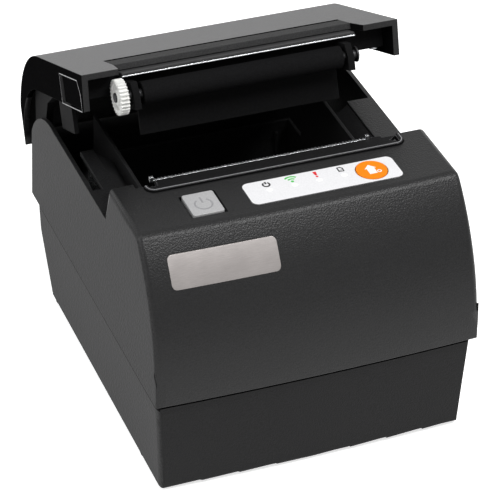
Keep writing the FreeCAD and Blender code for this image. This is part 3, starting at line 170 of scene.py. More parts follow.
def edges(tree, colour, wear_and_sheen, strength, size):
    """The colour, lighter along edges, and the normal that rounds them; size is in millimetres."""
    eased = add(tree, "ShaderNodeBevel", Radius=size * MM).outputs["Normal"]
    plain = tree.nodes.new("ShaderNodeNewGeometry").outputs["Normal"]
    facing = tree.nodes.new("ShaderNodeVectorMath")
    facing.operation = "DOT_PRODUCT"
    tree.links.new(eased, facing.inputs[0])
    tree.links.new(plain, facing.inputs[1])
    share = spread(tree, facing.outputs["Value"], strength, 0.0, *EDGE_SPAN)
    return tint(tree, share, colour, wear_and_sheen), eased


def relief(tree, surface, height, depth, distance, normal=None):
    """Bumps in a surface from a height, whose distance is in millimetres."""
    bump = add(tree, "ShaderNodeBump", Strength=depth, Distance=distance * MM, Height=height)
    if normal:
        tree.links.new(normal, bump.inputs["Normal"])
    tree.links.new(bump.outputs["Normal"], surface.inputs["Normal"])


def moulded(name, colour, rough, specular=0.2, grain=0.7, depth=0.3, wear_and_sheen=0.4, edge=0.35, speckle=0.2,
            pale=2.4):
    """Moulded plastic with a fine pebbled grain, a faint cloudy tone and paler edges, which are partly
    rubbing and partly a painted highlight.
    """
    made, tree, surface, place = shader(name)
    cloud = spread(tree, noise(tree, place, CLOUD_SIZE), 0.0, 1.0)
    fine = noise(tree, place, grain)
    speck = spread(tree, fine, 0.0, 1.0, *SPECK_SPAN)
    tones = []
    for middle in (1 - speckle, 1 + speckle):
        low = scaled_colour(colour, middle - CLOUD_TONE)
        high = scaled_colour(colour, middle + CLOUD_TONE)
        tones.append(tint(tree, cloud, low, high))
    edge_lightened, eased = edges(tree, tint(tree, speck, *tones), scaled_colour(colour, pale), wear_and_sheen, edge)
    tree.links.new(edge_lightened, surface.inputs["Base Color"])
    gloss = spread(tree, fine, rough - GLOSS_SWING, rough + GLOSS_SWING)
    tree.links.new(gloss, surface.inputs["Roughness"])
    cells = add(tree, "ShaderNodeTexVoronoi", Vector=place, Scale=1 / (grain * CELL_RATIO * MM))
    relief(tree, surface, sum_of(tree, fine, cells.outputs["Distance"]), depth, GRAIN_HEIGHT, eased)
    surface.inputs["Specular IOR Level"].default_value = specular
    return made


def brushed(name, colour, rough, stretch=(0.02, 1, 1), depth=0.15, edge=0.15):
    """Metal with fine brush lines, drawn out along the axis with the small stretch."""
    made, tree, surface, place = shader(name)
    lines = noise(tree, place, BRUSH_SIZE, BRUSH_DETAIL, stretch)
    blotch = spread(tree, noise(tree, place, BLOTCH_SIZE), 0.0, 1.0)
    tone = tint(tree, blotch, *[scaled_colour(colour, factor) for factor in BLOTCH_TONES])
    streak = tint(tree, spread(tree, lines, 0.0, STREAK_SHARE), tone, scaled_colour(colour, STREAK_TONE))
    edge_lightened, eased = edges(tree, streak, scaled_colour(colour, BRUSH_PALE), BRUSH_WEAR, edge)
    tree.links.new(edge_lightened, surface.inputs["Base Color"])
    gloss = spread(tree, lines, *[rough + swing for swing in BRUSH_GLOSS])
    tree.links.new(gloss, surface.inputs["Roughness"])
    surface.inputs["Metallic"].default_value = 1.0
    relief(tree, surface, lines, depth, BRUSH_HEIGHT, eased)
    return made


def printed(name, colour, rough=0.4):
    """Ink or film with a faint mottle."""
    made, tree, surface, place = shader(name)
    mottle = spread(tree, noise(tree, place, MOTTLE_SIZE, MOTTLE_DETAIL), 0.0, 1.0)
    tone = tint(tree, mottle, *[scaled_colour(colour, factor) for factor in MOTTLE_TONES])
    tree.links.new(tone, surface.inputs["Base Color"])
    gloss = spread(tree, noise(tree, place, INK_GLOSS_SIZE), *[rough + swing for swing in INK_GLOSS])
    tree.links.new(gloss, surface.inputs["Roughness"])
    relief(tree, surface, mottle, INK_DEPTH, INK_HEIGHT)
    return made


def board_green(name):
    """Solder mask over copper tracks with bare pads."""
    made, tree, surface, place = shader(name)
    tracks = add(tree, "ShaderNodeTexBrick", Vector=place, Scale=TRACK_SCALE)
    tracks.inputs["Mortar Size"].default_value = TRACK_GAP
    mask = tint(tree, tracks.outputs["Fac"], MASK_DARK, MASK_LIGHT)
    pads = add(tree, "ShaderNodeTexVoronoi", Vector=place, Scale=PAD_SCALE)
    share = spread(tree, pads.outputs["Distance"], 1.0, 0.0, *PAD_SPAN)
    tree.links.new(tint(tree, share, mask, PAD_METAL), surface.inputs["Base Color"])
    tree.links.new(spread(tree, noise(tree, place, BOARD_BLOTCH), *BOARD_GLOSS), surface.inputs["Roughness"])
    relief(tree, surface, tracks.outputs["Fac"], TRACK_DEPTH, TRACK_HEIGHT)
    return made


CHARCOAL = (0.011, 0.011, 0.0114)
PLASTICS = {
    "case_plastic": dict(colour=CHARCOAL, rough=0.33, specular=0.22, grain=0.5, depth=0.6, edge=0.5,
                         speckle=0.3),
    "base_plastic": dict(colour=CHARCOAL, rough=0.5, specular=0.11, grain=0.5, depth=0.6, edge=0.5,
                         speckle=0.3),
    # Near-black painted shade for the gaps under the upper case's lip and behind the lid's band.
    "seam_shade": dict(colour=(0.002, 0.002, 0.002), rough=0.8, specular=0.0, grain=0.5, wear_and_sheen=0.0),
    # Painted shade under the lip, fainter, on the base's sides.
    "side_shade": dict(colour=(0.006, 0.006, 0.006), rough=0.7, specular=0.02, grain=0.9, depth=0.5,
                       wear_and_sheen=0.0),
    # The case's sides: a coarser, duller grain, and twice the front's colour as painted light.
    "case_side": dict(colour=(0.022, 0.022, 0.0225), rough=0.6, specular=0.13, grain=0.9, depth=0.8,
                      wear_and_sheen=0.3, edge=0.5, speckle=0.4),
    "lid_plastic": dict(colour=(0.036, 0.036, 0.037), rough=0.5, specular=0.75, depth=0.7, wear_and_sheen=0.8,
                        speckle=0.3),
    "band_plastic": dict(colour=(0.013, 0.013, 0.0133), rough=0.5, specular=0.028, grain=0.5, depth=0.4,
                         speckle=0.3),
    # The band's front faces and the exit lip: a lighter copy of the band's plastic, a painted highlight.
    "band_front": dict(colour=(0.03, 0.03, 0.0306), rough=0.5, grain=0.5, depth=0.4, speckle=0.3),
    # The lid's sides and inside: a darker copy of its plastic as painted shade, with strongly paler edges as
    # painted highlights.
    "lid_dark": dict(colour=(0.005, 0.005, 0.0052), rough=0.8, specular=0.0, wear_and_sheen=0.9, edge=0.4, pale=9),
    "black_plastic": dict(colour=(0.006, 0.006, 0.0063), rough=0.7, specular=0.04, grain=0.9, depth=0.2,
                          wear_and_sheen=0.5),
    "bucket_plastic": dict(colour=(0.014, 0.014, 0.0145), rough=0.5, specular=0.1, grain=0.9, depth=0.2,
                           wear_and_sheen=0.6),
    # The bezel's black plastic with edges made many times paler: a painted highlight along its rim.
    "rim_plastic": dict(colour=(0.008, 0.008, 0.0083), rough=0.45, specular=0.06, wear_and_sheen=1.0, edge=0.4,
                        pale=25),
    "grey_plastic": dict(colour=(0.4, 0.4, 0.405), rough=0.42, specular=0.3, grain=0.5, depth=0.12, wear_and_sheen=0.6,
                         edge=0.6, speckle=0.05, pale=1.5),
    "orange_plastic": dict(colour=(0.9, 0.235, 0.006), rough=0.42, specular=0.15, grain=0.5, depth=0.08,
                           wear_and_sheen=0.1, edge=0.4, speckle=0.04),
    "white_plastic": dict(colour=(0.8, 0.8, 0.78), rough=0.45, specular=0.3, grain=0.6, depth=0.12, wear_and_sheen=0.1,
                          edge=0.3, speckle=0.05, pale=1.1),
    "clear_plastic": dict(colour=(0.75, 0.8, 0.77), rough=0.2, specular=0.5, grain=1.5, depth=0.05, wear_and_sheen=0.1,
                          edge=0.3, speckle=0.03, pale=1.1),
    "rubber": dict(colour=(0.012, 0.012, 0.012), rough=0.85, specular=0.05, grain=1.2, depth=0.4, wear_and_sheen=0.2),
    "roller_rubber": dict(colour=(0.009, 0.009, 0.0094), rough=0.7, specular=0.0, grain=0.5, depth=0.12,
                          wear_and_sheen=0.1),
}
METALS = {
    "bright_steel": dict(colour=(0.72, 0.73, 0.75), rough=0.26),
    "zinc_steel": dict(colour=(0.55, 0.56, 0.58), rough=0.36),
    "motor_steel": dict(colour=(0.33, 0.33, 0.34), rough=0.42),
    "dark_steel": dict(colour=(0.05, 0.05, 0.052), rough=0.45),
    "plate_metal": dict(colour=(0.27, 0.252, 0.245), rough=0.48, stretch=(0.03, 1, 1), depth=0.3),
    "aluminium": dict(colour=(0.7, 0.71, 0.72), rough=0.4),
    "brass": dict(colour=(0.72, 0.53, 0.22), rough=0.3),
}
FILMS = {
    "label_film": dict(colour=(0.78, 0.78, 0.795)),
    "ceramic": dict(colour=(0.72, 0.7, 0.66), rough=0.3),
    "ink_black": dict(colour=(0.012, 0.012, 0.013), rough=0.45),
    "ink_green": dict(colour=(0.05, 0.5, 0.06), rough=0.45),
    "ink_red": dict(colour=(0.7, 0.012, 0.02), rough=0.45),
    "ink_white": dict(colour=(0.88, 0.88, 0.88)),
    # Grey ink for the button's sign, and for the lines of painted highlight along the bezel's rim and the
    # grip's edges.
    "ink_grey": dict(colour=(0.27, 0.27, 0.28)),
    "lamp_window": dict(colour=(0.93, 0.93, 0.93), rough=0.3),
}
LOOKS = {"circuit_board": board_green("circuit_board_look")}
for make, table in ((moulded, PLASTICS), (brushed, METALS), (printed, FILMS)):
    for look, values in table.items():
        LOOKS[look] = make(look + "_look", **values)


# Pieces

CASE_SIDE = 70
RIGHTWARD = Vector((1, 0, 0))
BACKWARD = Vector((0, 1, 0))
UPWARD = Vector((0, 0, 1))
FRONT_ARC = (FRONT_LEAN ** 2 + FRONT_RISE ** 2) / (2 * FRONT_LEAN)
BOW = 1.5
BOW_ARC = (CASE_SIDE ** 2 + BOW ** 2) / (2 * BOW)
SHARP = math.radians(28)
ON_CURVE = math.cos(math.radians(4))
WELD = 0.002
FLAT = math.radians(0.05)
CUT_REACH = 0.01
CLEAR_REACH = 0.05
EDGE_STEPS = 2
SHELL_STEPS = 4
ROUND = 0.5


def show(name, mesh, body, look, replaced=None):
    """Put a mesh in the scene as a piece of the printer that rides on a body."""
    piece = bpy.data.objects.new(name, mesh)
    bpy.context.scene.collection.objects.link(piece)
    mesh.materials.clear()
    mesh.materials.append(LOOKS[look])
    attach(piece, body)
    if replaced:
        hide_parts(replaced)
    return piece


def mesh_of(name, bm):
    """A mesh of a drawn shape, which is then let go."""
    mesh = bpy.data.meshes.new(name)
    bm.to_mesh(mesh)
    bm.free()
    return mesh


def welded(node):
    """A copy of a solid's mesh with its flat faces whole."""
    bm = bmesh.new()
    bm.from_mesh(frame["nodes"][node].data)
    bmesh.ops.remove_doubles(bm, verts=bm.verts, dist=WELD * MM)
    bmesh.ops.dissolve_limit(bm, angle_limit=FLAT, verts=bm.verts, edges=bm.edges)
    return bm


def is_sharp(edge):
    """Whether two faces meet in a marked angle at an edge."""
    return len(edge.link_faces) == 2 and edge.calc_face_angle(0.0) > SHARP


def stand_for(node, bm, look):
    """Show a shape in a solid's place, in a look or else in the look of the solid's slot."""
    mesh = mesh_of(node + "_form", bm)
    mesh.shade_smooth()
    return show(node + "_form", mesh, BODY_OF[node], look or SLOT_OF[node], node)


def dress(node, size, look=None):
    """Stand a copy of a solid, with its sharp edges rounded, in the solid's place."""
    bm = welded(node)
    layer = bm.edges.layers.float.new("bevel_weight_edge")
    for edge in bm.edges:
        edge[layer] = 1.0 if is_sharp(edge) else 0.0
    piece = stand_for(node, bm, look)
    bevel = piece.modifiers.new("rounding", "BEVEL")
    bevel.limit_method = "WEIGHT"
    bevel.width = size * MM
    bevel.segments = EDGE_STEPS
    bevel.miter_outer = "MITER_ARC"
    bevel.use_clamp_overlap = True
    piece.modifiers.new("even_shading", "WEIGHTED_NORMAL")


def cut(bm, parts, spot, facing):
    """Part faces at the plane through a spot, which is in millimetres."""
    bmesh.ops.bisect_plane(bm, geom=parts, dist=CUT_REACH * MM, plane_co=spot * MM, plane_no=facing)


def clear_strip(bm, inside, spot, facing):
    """Leave a strip of the inside faces, between their edge and a plane, free of points."""
    faces = [face for face in bm.faces if inside(face)]
    verts = {vert for face in faces for vert in face.verts}
    lines = {line for face in faces for line in face.edges}
    cut(bm, [*verts, *lines, *faces], spot, facing)
    beyond = []
    for vert in bm.verts:
        within = vert.link_faces and all(inside(face) for face in vert.link_faces)
        if within and (vert.co - spot * MM).dot(facing) > CLEAR_REACH * MM:
            beyond.append(vert)
    bmesh.ops.dissolve_verts(bm, verts=beyond)


def steady(piece, curve):
    """Keep the shading, with the exact normal where a facet lies on a curve given as point to normal."""
    view = bpy.context.evaluated_depsgraph_get()
    mesh = bpy.data.meshes.new_from_object(piece.evaluated_get(view))
    normals = [corner.vector.copy() for corner in mesh.corner_normals]
    for face in mesh.polygons:
        if face.normal.dot(curve(face.center / MM)) > ON_CURVE:
            for corner in face.loop_indices:
                normals[corner] = curve(mesh.vertices[mesh.loops[corner].vertex_index].co / MM)
    mesh.normals_split_custom_set(normals)
    piece.modifiers.clear()
    piece.data = mesh


def dress_shell(node, size, chosen, look=None, faces=None, strips=(), curve=None, cuts=()):
    """Stand a copy of a large shell in its place, with the chosen outside edges rounded.

    faces maps further looks to tests of a face's middle and normal, strips are given to clear_strip,
    curve to steady, and cuts are planes, each a point and a normal, at which the faces are parted.
    """
    bm = welded(node)
    for spot, facing in cuts:
        cut(bm, [*bm.verts, *bm.edges, *bm.faces], spot, facing)
    for strip in strips:
        clear_strip(bm, *strip)
    picked = []
    for edge in bm.edges:
        middle = (edge.verts[0].co + edge.verts[1].co) / (2 * MM)
        if is_sharp(edge) and chosen(middle):
            picked.append(edge)
    bmesh.ops.bevel(bm, geom=picked, offset=size * MM, offset_type="OFFSET", segments=SHELL_STEPS,
                    profile=ROUND, affect="EDGES", clamp_overlap=not strips, miter_outer="ARC")
    piece = stand_for(node, bm, look)
    for index, (other, fits) in enumerate((faces or {}).items(), 1):
        piece.data.materials.append(LOOKS[other])
        for face in piece.data.polygons:
            if fits(face.center / MM, face.normal):
                face.material_index = index
    piece.data.set_sharp_from_angle(angle=SHARP)
    shading = piece.modifiers.new("even_shading", "WEIGHTED_NORMAL")
    shading.keep_sharp = True
    if curve:
        steady(piece, curve)


# Parts of the shells

CORNER = 2.2
STRIP = CORNER * 1.8
LID_CORNER = 1.2
BASE_CORNER = 0.8
# Lower ends of the painted shade under the upper case's lip, at the front and on the sides.
SEAM = SPLIT - 3.1
SIDE_SEAM = SPLIT - 4.5
BAND_HALF = 52
BAND_BACK = FRONT + 86
# Width of the strip of painted shade behind the lid's band.
GAP_SHADE_WIDTH = 2.5
OUTSIDE = 68
FLANK_BACK = FRONT + 62
BLEND_TOP = SPLIT + 8.2
CREASE_REACH = 2.5
UNDER_PANEL = PANEL - 0.5
LID_BEND = FRONT + 127
LID_BEND_LOW = SPLIT + 30
BASE_LOW = 1.6
BASE_SIDE = 64
BASE_BACK = FRONT + 140
FRONT_FACING = -0.2
FRONT_UNDER = -0.1
LID_SIDEWAYS = 0.75
LID_UNDER = -0.2
LID_FRONT_FACING = -0.6
LID_LEVEL = 0.9
FLANK_FACING = 0.8


def shut_place(point):
    """Where a point of the open lid lies when the lid is shut, in millimetres."""
    return SHUT_TURN @ (point - HINGE) + HINGE


def open_place(point):
    """Where a point of the shut lid lies when the lid stands open, in millimetres."""
    return OPEN_TURN @ (point - HINGE) + HINGE


def case_corner(middle):
    """The edges between the front face, the sides and the panel."""
    beside = abs(middle.x) > OUTSIDE and middle.y < FLANK_BACK and middle.z > BLEND_TOP
    crease = abs(middle.y - CREASE) < CREASE_REACH and middle.z > UNDER_PANEL
    return beside or crease


def case_front(face):
    """The bowed front of the upper case."""
    ahead = face.calc_center_median().y < CREASE * MM
    return ahead and face.normal.y < FRONT_FACING and face.normal.z > FRONT_UNDER


def front_normal(point):
    """Which way the front of the upper case faces at a point: bowed in plan and curved in height."""
    out = Vector((point.x, point.y - (FRONT - BOW + BOW_ARC), 0)).normalized()
    lean = math.asin(max(0.0, min(1.0, (point.z - SPLIT) / FRONT_ARC)))
    return out * math.cos(lean) + UPWARD * math.sin(lean)


def lid_corner(middle):
    """The edges around the top of the lid."""
    shut = shut_place(middle)
    bend = shut.y > LID_BEND and shut.z > LID_BEND_LOW
    return abs(shut.x) > OUTSIDE and (shut.z > UNDER_PANEL or bend)


def lid_hidden(middle, normal):
    """The sides of the lid and its inside, which are smooth and take a darker copy of its plastic as painted
    shade.
    """
    facing = SHUT_TURN @ normal
    return abs(facing.x) > LID_SIDEWAYS or facing.z < LID_UNDER


def lid_rim(middle, normal):
    """The front edge of the lid."""
    return (SHUT_TURN @ normal).y < LID_FRONT_FACING


def lid_band(middle, normal):
    """The darker band along the front of the lid's top."""
    shut = shut_place(middle)
    return (SHUT_TURN @ normal).z > LID_LEVEL and abs(shut.x) < BAND_HALF and shut.y < BAND_BACK


def band_front(middle, normal):
    """The front edge of the lid's band, which takes a lighter copy of the band's plastic as a painted
    highlight.
    """
    return lid_rim(middle, normal) and abs(middle.x) < BAND_HALF


def lid_gap_painted_shade(middle, normal):
    """A dark strip behind the lid's band: painted shade for the step there."""
    return lid_band(middle, normal) and shut_place(middle).y > BAND_BACK - GAP_SHADE_WIDTH


def opened_cut(back):
    """A plane across the open lid, at a distance back that is measured with the lid shut."""
    return open_place(Vector((0, back, PANEL))), OPEN_TURN @ BACKWARD


def case_flank(middle, normal):
    """The sides of the case, which have a coarser and duller grain than its front, and a lighter colour that
    is painted light.
    """
    return abs(normal.x) > FLANK_FACING


def base_corner(middle):
    """The edges around the bottom of the base."""
    return middle.z < BASE_LOW and (abs(middle.x) > BASE_SIDE or middle.y > BASE_BACK)


def under_lip_painted_shade(middle, normal):
    """The top of the base under the upper case's lip, painted near black as painted shade of the lip."""
    return middle.z > SEAM


def side_lip_painted_shade(middle, normal):
    """The top of the base's sides, painted a little darker than the rest as a soft painted shade of the lip.
    """
    return middle.z > SIDE_SEAM and case_flank(middle, normal)


front_strips = [
    (case_front, Vector((CASE_SIDE - STRIP, 0, 0)), RIGHTWARD),
    (case_front, Vector((STRIP - CASE_SIDE, 0, 0)), -RIGHTWARD),
    (case_front, Vector((0, 0, PANEL - STRIP)), UPWARD)]
# The sides of the upper case take a lighter copy of its plastic as painted light.
dress_shell("upper_case", CORNER, case_corner, faces={"case_side": case_flank}, strips=front_strips,
            curve=front_normal)
# The lid's sides and inside take painted shade, the front of its band a painted highlight, and a strip
# behind the band painted shade.
lid_faces = {"lid_dark": lid_hidden, "case_plastic": lid_rim, "band_front": band_front,
             "band_plastic": lid_band, "seam_shade": lid_gap_painted_shade}
lid_cuts = [opened_cut(BAND_BACK), opened_cut(BAND_BACK - GAP_SHADE_WIDTH),
            (RIGHTWARD * BAND_HALF, RIGHTWARD), (-RIGHTWARD * BAND_HALF, RIGHTWARD)]
dress_shell("lid_cover", LID_CORNER, lid_corner, faces=lid_faces, cuts=lid_cuts)
# The base's sides take the lighter side plastic as painted light, and bands under the upper case's lip
# painted shade.
base_faces = {"case_side": case_flank, "side_shade": side_lip_painted_shade, "seam_shade": under_lip_painted_shade}
dress_shell("base_case", BASE_CORNER, base_corner, "base_plastic", base_faces,
            cuts=[(UPWARD * SEAM, UPWARD), (UPWARD * SIDE_SEAM, UPWARD)])
ROUNDING = {
    "lid_frame": 0.3, "fixed_blade": 0.12, "paper_guide": 0.3, "platen_roller": 0.35, "platen_gear": 0.1,
    "tear_bar": 0.08, "control_label": 0.08, "power_button": 0.35, "feed_key": 0.3, "nameplate": 0.15,
    "rubber_feet": 0.5, "case_screws": 0.2, "drawer_socket": 0.25, "network_socket": 0.25,
    "usb_socket": 0.25, "power_socket": 0.25, "latch_keeper": 0.2, "mechanism_frame": 0.25,
    "head_heatsink": 0.3, "head_ceramic": 0.15, "cutter_frame": 0.2, "cutter_motor": 0.5,
    "moving_blade": 0.06, "cutter_pinion": 0.06, "drive_gear": 0.1, "idler_gear": 0.1,
    "motor_pinion": 0.08, "gear_posts": 0.2, "feed_motor": 0.6, "head_pivot_pin": 0.2, "hinge_pins": 0.2,
    "lid_screws": 0.2, "main_board": 0.1, "board_screws": 0.2, "mechanism_screws": 0.2,
    "paper_sensor": 0.3, "led_light_pipes": 0.15, "panel_board": 0.1, "power_switch": 0.3,
    "feed_switch": 0.2, "head_springs": 0.3, "exit_lip": 0.25, "exit_bezel": 0.25, "paper_bucket": 0.3,
    "platen_shaft": 0.3, "platen_clip": 0.1, "platen_bushes": 0.25,
}
# The exit lip takes the band's lighter copy and the bezel the rim plastic, both painted highlights.
OTHER_LOOKS = {
    "exit_lip": "band_front", "exit_bezel": "rim_plastic", "paper_bucket": "bucket_plastic",
    "platen_shaft": "dark_steel", "platen_clip": "dark_steel", "platen_bushes": "black_plastic",
}
for name, size in ROUNDING.items():
    dress(name, size, OTHER_LOOKS.get(name))


# Printed marks, and lines of painted highlight

PRINT = 0.04
LABEL_TOP = PANEL + 0.1
BUTTON_TOP = PANEL + 0.6
KEY_TOP = PANEL + 0.4
RIM_TOP = 112.6
QUARTER = 90
FULL_TURN = 360
RING_SIDES = 24
CORNER_STEPS = 8
BORDER = dict(left=-18.45, right=47.05, near=30.85, far=46.45, radius=2.95)
BORDER_WIDTH = 0.35
ICON_BACK = 43.4
ICONS = (-8.4, 2.4, 13.1, 23.9)
ICON_WIDTH = 0.75
POWER_ARC = (125, 415)
POWER_BAR = (0.25, 1.35)
POWER_SIZE = 1.4
POWER_BACK = ICON_BACK - 0.3
WAVES = (1.9, 3.4)
WAVE_SPAN = (45, 135)
WAVE_STEPS = 12
WAVE_BACK = ICON_BACK - 1.7
LINK_DOT = 0.65
LINK_DOT_BACK = ICON_BACK - 1.6
WARNING_STEM = ((-0.45, -0.6), (0.45, -0.6), (0.75, 1.9), (-0.75, 1.9))
WARNING_DOT = 0.55
WARNING_DOT_BACK = ICON_BACK - 1.5
SHEET = ((-1.0, -1.3), (1.0, -1.3), (1.0, 0.7), (0.2, 1.5), (-1.0, 1.5))
SHEET_WIDTH = 0.65
SHEET_LINE = ((-0.5, -0.4), (0.5, -0.4))
SHEET_LINE_WIDTH = 0.4
LAMP_BACK = 39.2
LAMP_SIZE = 1.4
LAMP_SQUEEZE = 0.8
KEY_X = 35.7
KEY_BACK = 39.0
FEED_ARROW = ((-1.9, -3.0), (1.4, -3.0), (1.4, 0.8), (2.3, 0.8), (-0.25, 3.4), (-2.8, 0.8), (-1.9, 0.8))
FEED_RING = dict(u=KEY_X + 2.6, v=KEY_BACK - 1.9, radius=0.75)
FEED_RING_WIDTH = 0.45
BUTTON_X = -36.95
BUTTON_BACK = 38.6
BUTTON_SIGN = dict(u=BUTTON_X, v=BUTTON_BACK - 0.7, radius=3.5, width=0.7)
RIM_LEFT = -51
RIM_RIGHT = 53
RIM_BACK = 56.5
RIM_ROUND = 3.4
RIM_STEPS = 10
RIM_LEFT_END = 57
RIM_RIGHT_END = 59.6
RIM_WIDTH = 0.35
GRIP = ((66, 49.6), (66, 56.5), (69, 62), (94, 62), (94, 49.6))
GRIP_WIDTH = 0.4
SIDE_LEAN = math.tan(math.radians(1.0))


def stroke(bm, points, width, closed, lay):
    """A line of some width through points; lay turns a point and a height into a place on the surface."""
    count = len(points)
    sides = []
    for index, point in enumerate(points):
        before = points[(index - 1) % count] if closed or index else point
        after = points[(index + 1) % count] if closed or index + 1 < count else point
        along = (Vector(after) - Vector(before)).normalized()
        across = Vector((-along.y, along.x)) * (width / 2)
        sides.append((Vector(point) + across, Vector(point) - across))
    rings = []
    for left, right in sides:
        corners = (lay(left, 0), lay(right, 0), lay(right, PRINT), lay(left, PRINT))
        rings.append([bm.verts.new(corner * MM) for corner in corners])
    last = count if closed else count - 1
    for index in range(last):
        here = rings[index]
        there = rings[(index + 1) % count]
        for side in range(len(here)):
            other = (side + 1) % len(here)
            bm.faces.new((here[side], here[other], there[other], there[side]))
    if not closed:
        bm.faces.new(rings[0][::-1])
        bm.faces.new(rings[-1])


def patch(bm, points, lay):
    """A filled outline."""
    top = [bm.verts.new(lay(Vector(point), PRINT) * MM) for point in points]
    low = [bm.verts.new(lay(Vector(point), 0) * MM) for point in points]
    bm.faces.new(top)
    bm.faces.new(low[::-1])
    for index in range(len(points)):
        after = (index + 1) % len(points)
        bm.faces.new((low[index], low[after], top[after], top[index]))


def arc(u, v, radius, start, end, steps=24):
    """Points of an arc; the angles are in degrees from +X."""
    found = []
    for index in range(steps + 1):
        angle = math.radians(start + (end - start) * index / steps)
        found.append((u + radius * math.cos(angle), v + radius * math.sin(angle)))
    return found


def ring(u, v, radius, squeeze=1.0):
    """Points of a ring, squeezed in depth."""
    around = arc(u, v, radius, 0, FULL_TURN, RING_SIDES)[:-1]
    return [(x, v + (y - v) * squeeze) for x, y in around]


def rounded(left, right, near, far, radius):
    """Points of a rectangle with rounded corners."""
    middles = ((right - radius, far - radius), (left + radius, far - radius),
               (left + radius, near + radius), (right - radius, near + radius))
    found = []
    for index, (u, v) in enumerate(middles):
        found += arc(u, v, radius, QUARTER * index, QUARTER * (index + 1), CORNER_STEPS)
    return found


def moved(points, u, v):
    """Points drawn around the origin, moved to a place."""
    return [(u + x, v + y) for x, y in points]


def mark(name, body, look, lay, lines=(), patches=()):
    """A printed mark, or a line of painted highlight, made of lines, each of points, width and whether it
    closes, and of filled outlines.
    """
    bm = bmesh.new()
    for points, width, closed in lines:
        stroke(bm, points, width, closed, lay)
    for points in patches:
        patch(bm, points, lay)
    bmesh.ops.recalc_face_normals(bm, faces=bm.faces)
    show(name, mesh_of(name, bm), body, look)


def level(height):
    """Marks on a level face at this height; a point is its x and its depth behind the front."""
    def lay(point, up):
        return Vector((point.x, FRONT + point.y, height + up))
    return lay


on_label = level(LABEL_TOP)


def on_lid_side(point, up):
    """A place on the lid's left side; the point is the depth and the rise with the lid shut."""
    return open_place(Vector((SIDE_LEAN * point.y - CASE_SIDE - up, FRONT + point.x, SPLIT + point.y)))


def label_mark(name, look, lines=(), patches=()):
    """A mark on the label of the panel."""
    mark(name, "printer", look, on_label, lines, patches)


def power_sign(u, v, radius, width):
    """Lines of a ring with a gap at its top and an upright bar in the gap."""
    bar = [(u, v + share * radius) for share in POWER_BAR]
    return [(arc(u, v, radius, *POWER_ARC), width, False), (bar, width, False)]


power_x, link_x, warning_x, paper_x = ICONS
label_mark("label_border", "ink_black", [(rounded(**BORDER), BORDER_WIDTH, True)])
label_mark("power_icon", "ink_black", power_sign(power_x, POWER_BACK, POWER_SIZE, ICON_WIDTH))
waves = [(arc(link_x, WAVE_BACK, size, *WAVE_SPAN, WAVE_STEPS), ICON_WIDTH, False) for size in WAVES]
label_mark("link_icon", "ink_green", waves, [ring(link_x, LINK_DOT_BACK, LINK_DOT)])
stem = moved(WARNING_STEM, warning_x, ICON_BACK)
label_mark("warning_icon", "ink_red", [], [stem, ring(warning_x, WARNING_DOT_BACK, WARNING_DOT)])
sheet = (moved(SHEET, paper_x, ICON_BACK), SHEET_WIDTH, True)
sheet_line = (moved(SHEET_LINE, paper_x, ICON_BACK), SHEET_LINE_WIDTH, False)
label_mark("paper_icon", "ink_black", [sheet, sheet_line])
label_mark("lamp_windows", "lamp_window", [], [ring(u, LAMP_BACK, LAMP_SIZE, LAMP_SQUEEZE) for u in ICONS])
mark("feed_sign", "feed_key", "ink_white", level(KEY_TOP),
     [(ring(**FEED_RING), FEED_RING_WIDTH, True)], [moved(FEED_ARROW, KEY_X, KEY_BACK)])
mark("button_sign", "power_button", "ink_grey", level(BUTTON_TOP),
     power_sign(**BUTTON_SIGN))
# A grey line along the bezel's rim: a painted highlight.
rim = [(RIM_LEFT - RIM_ROUND, RIM_LEFT_END),
       *arc(RIM_LEFT, RIM_BACK, RIM_ROUND, 2 * QUARTER, 3 * QUARTER, RIM_STEPS),
       *arc(RIM_RIGHT, RIM_BACK, RIM_ROUND, 3 * QUARTER, FULL_TURN, RIM_STEPS),
       (RIM_RIGHT + RIM_ROUND, RIM_RIGHT_END)]
mark("bezel_painted_highlight", "printer", "ink_grey", level(RIM_TOP), [(rim, RIM_WIDTH, False)])
# A grey line around the grip recess on the lid's side: a painted highlight of its edges.
mark("grip_painted_highlight", "lid", "ink_grey", on_lid_side, [(GRIP, GRIP_WIDTH, True)])


# Camera

AZIMUTH = math.radians(-22.62)
ELEVATION = math.radians(35.36)
ROLL = math.radians(1.97)
FOCAL = 2637.84
PICTURE = 500
SENSOR = 36
OFFSET = Vector((-28.18, 49.16, 1058.60))
CLIP_START = 0.05


def aim_camera():
    """Set the camera from its turn around the printer, its height, its roll and its distance."""
    back = Vector((math.sin(AZIMUTH) * math.cos(ELEVATION), -math.cos(AZIMUTH) * math.cos(ELEVATION),
                   math.sin(ELEVATION)))
    right = Vector((math.cos(AZIMUTH), math.sin(AZIMUTH), 0))
    level_view = Matrix((right, back.cross(right), back))
    turn = Matrix(((math.cos(ROLL), math.sin(ROLL), 0),
                   (-math.sin(ROLL), math.cos(ROLL), 0),
                   (0, 0, 1)))
    rolled = turn @ level_view
    spot = (rolled.transposed() @ OFFSET + Vector((0, FRONT, SPLIT))) * MM
    data = bpy.data.cameras.new("camera")
    data.sensor_width = SENSOR
    data.lens = FOCAL / PICTURE * SENSOR
    data.clip_start = CLIP_START
    camera = bpy.data.objects.new("camera", data)
    camera.matrix_world = Matrix.Translation(spot) @ rolled.transposed().to_4x4()
    bpy.context.scene.collection.objects.link(camera)
    bpy.context.scene.camera = camera


aim_camera()


# Floor and light

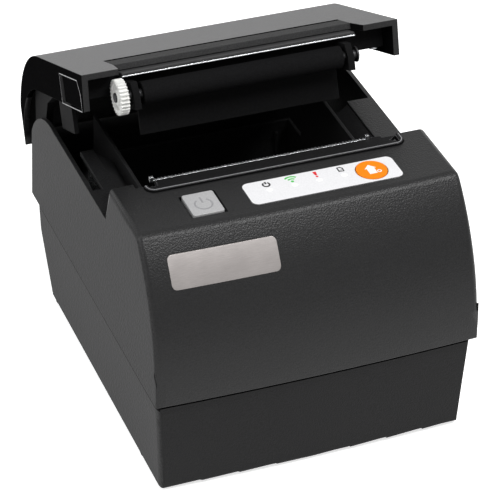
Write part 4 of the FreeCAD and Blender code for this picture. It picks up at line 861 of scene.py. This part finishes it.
WHITE = (1, 1, 1, 1)
FLOOR_RADIUS = 4.0
FLOOR_SIDES = 96
FLOOR_GREY = (0.9, 0.9, 0.9, 1)
FLOOR_ROUGH = 0.7
FLOOR_LIFT = 0.72
SOFT_LIGHT = 0.18
LAMPS = {
    "key_light": dict(spot=(-1.1, -0.1, 0.8), target=(0, 0, 0.07), size=(0.9, 0.9), power=7),
    "top_light": dict(spot=(-0.35, -0.1, 1.3), target=(0, 0, 0.1), size=(0.9, 0.4), power=3),
    "front_light": dict(spot=(0.36, -0.5, 1.05), target=(0, -0.05, 0.11), size=(0.9, 0.2), power=10.5),
}


def seen_straight(tree):
    """1 for what the camera, gloss and glass see, and 0 for the light that falls on things."""
    path = tree.nodes.new("ShaderNodeLightPath")
    found = sum_of(tree, path.outputs["Is Camera Ray"], path.outputs["Is Glossy Ray"])
    return sum_of(tree, found, path.outputs["Is Transmission Ray"])


def make_floor():
    """A round floor that the camera sees as white, with the shadow of the printer on it."""
    bm = bmesh.new()
    bmesh.ops.create_circle(bm, cap_ends=True, radius=FLOOR_RADIUS, segments=FLOOR_SIDES)
    mesh = mesh_of("floor", bm)
    floor = bpy.data.objects.new("floor", mesh)
    bpy.context.scene.collection.objects.link(floor)
    made, tree, surface, _ = shader("floor_look")
    surface.inputs["Base Color"].default_value = FLOOR_GREY
    surface.inputs["Roughness"].default_value = FLOOR_ROUGH
    surface.inputs["Emission Color"].default_value = WHITE
    lift = spread(tree, seen_straight(tree), 0.0, FLOOR_LIFT, 0.0, 1.0)
    tree.links.new(lift, surface.inputs["Emission Strength"])
    mesh.materials.append(made)


def make_world():
    """White all around for the camera, and a soft even light on things."""
    world = bpy.data.worlds.new("studio")
    bpy.context.scene.world = world
    world.use_nodes = True
    tree = world.node_tree
    soft = tree.nodes["Background"]
    soft.inputs["Color"].default_value = WHITE
    tree.links.new(spread(tree, seen_straight(tree), SOFT_LIGHT, 1.0, 0.0, 1.0), soft.inputs["Strength"])


def lamp(name, spot, target, size, power):
    """A rectangular lamp that looks from a spot to a target."""
    data = bpy.data.lights.new(name, "AREA")
    data.shape = "RECTANGLE"
    data.size, data.size_y = size
    data.energy = power
    lit = bpy.data.objects.new(name, data)
    lit.location = spot
    lit.rotation_euler = (Vector(target) - Vector(spot)).to_track_quat("-Z", "Y").to_euler()
    bpy.context.scene.collection.objects.link(lit)


make_floor()
make_world()
for name, values in LAMPS.items():
    lamp(name, **values)
bpy.context.scene.view_settings.view_transform = "Standard"
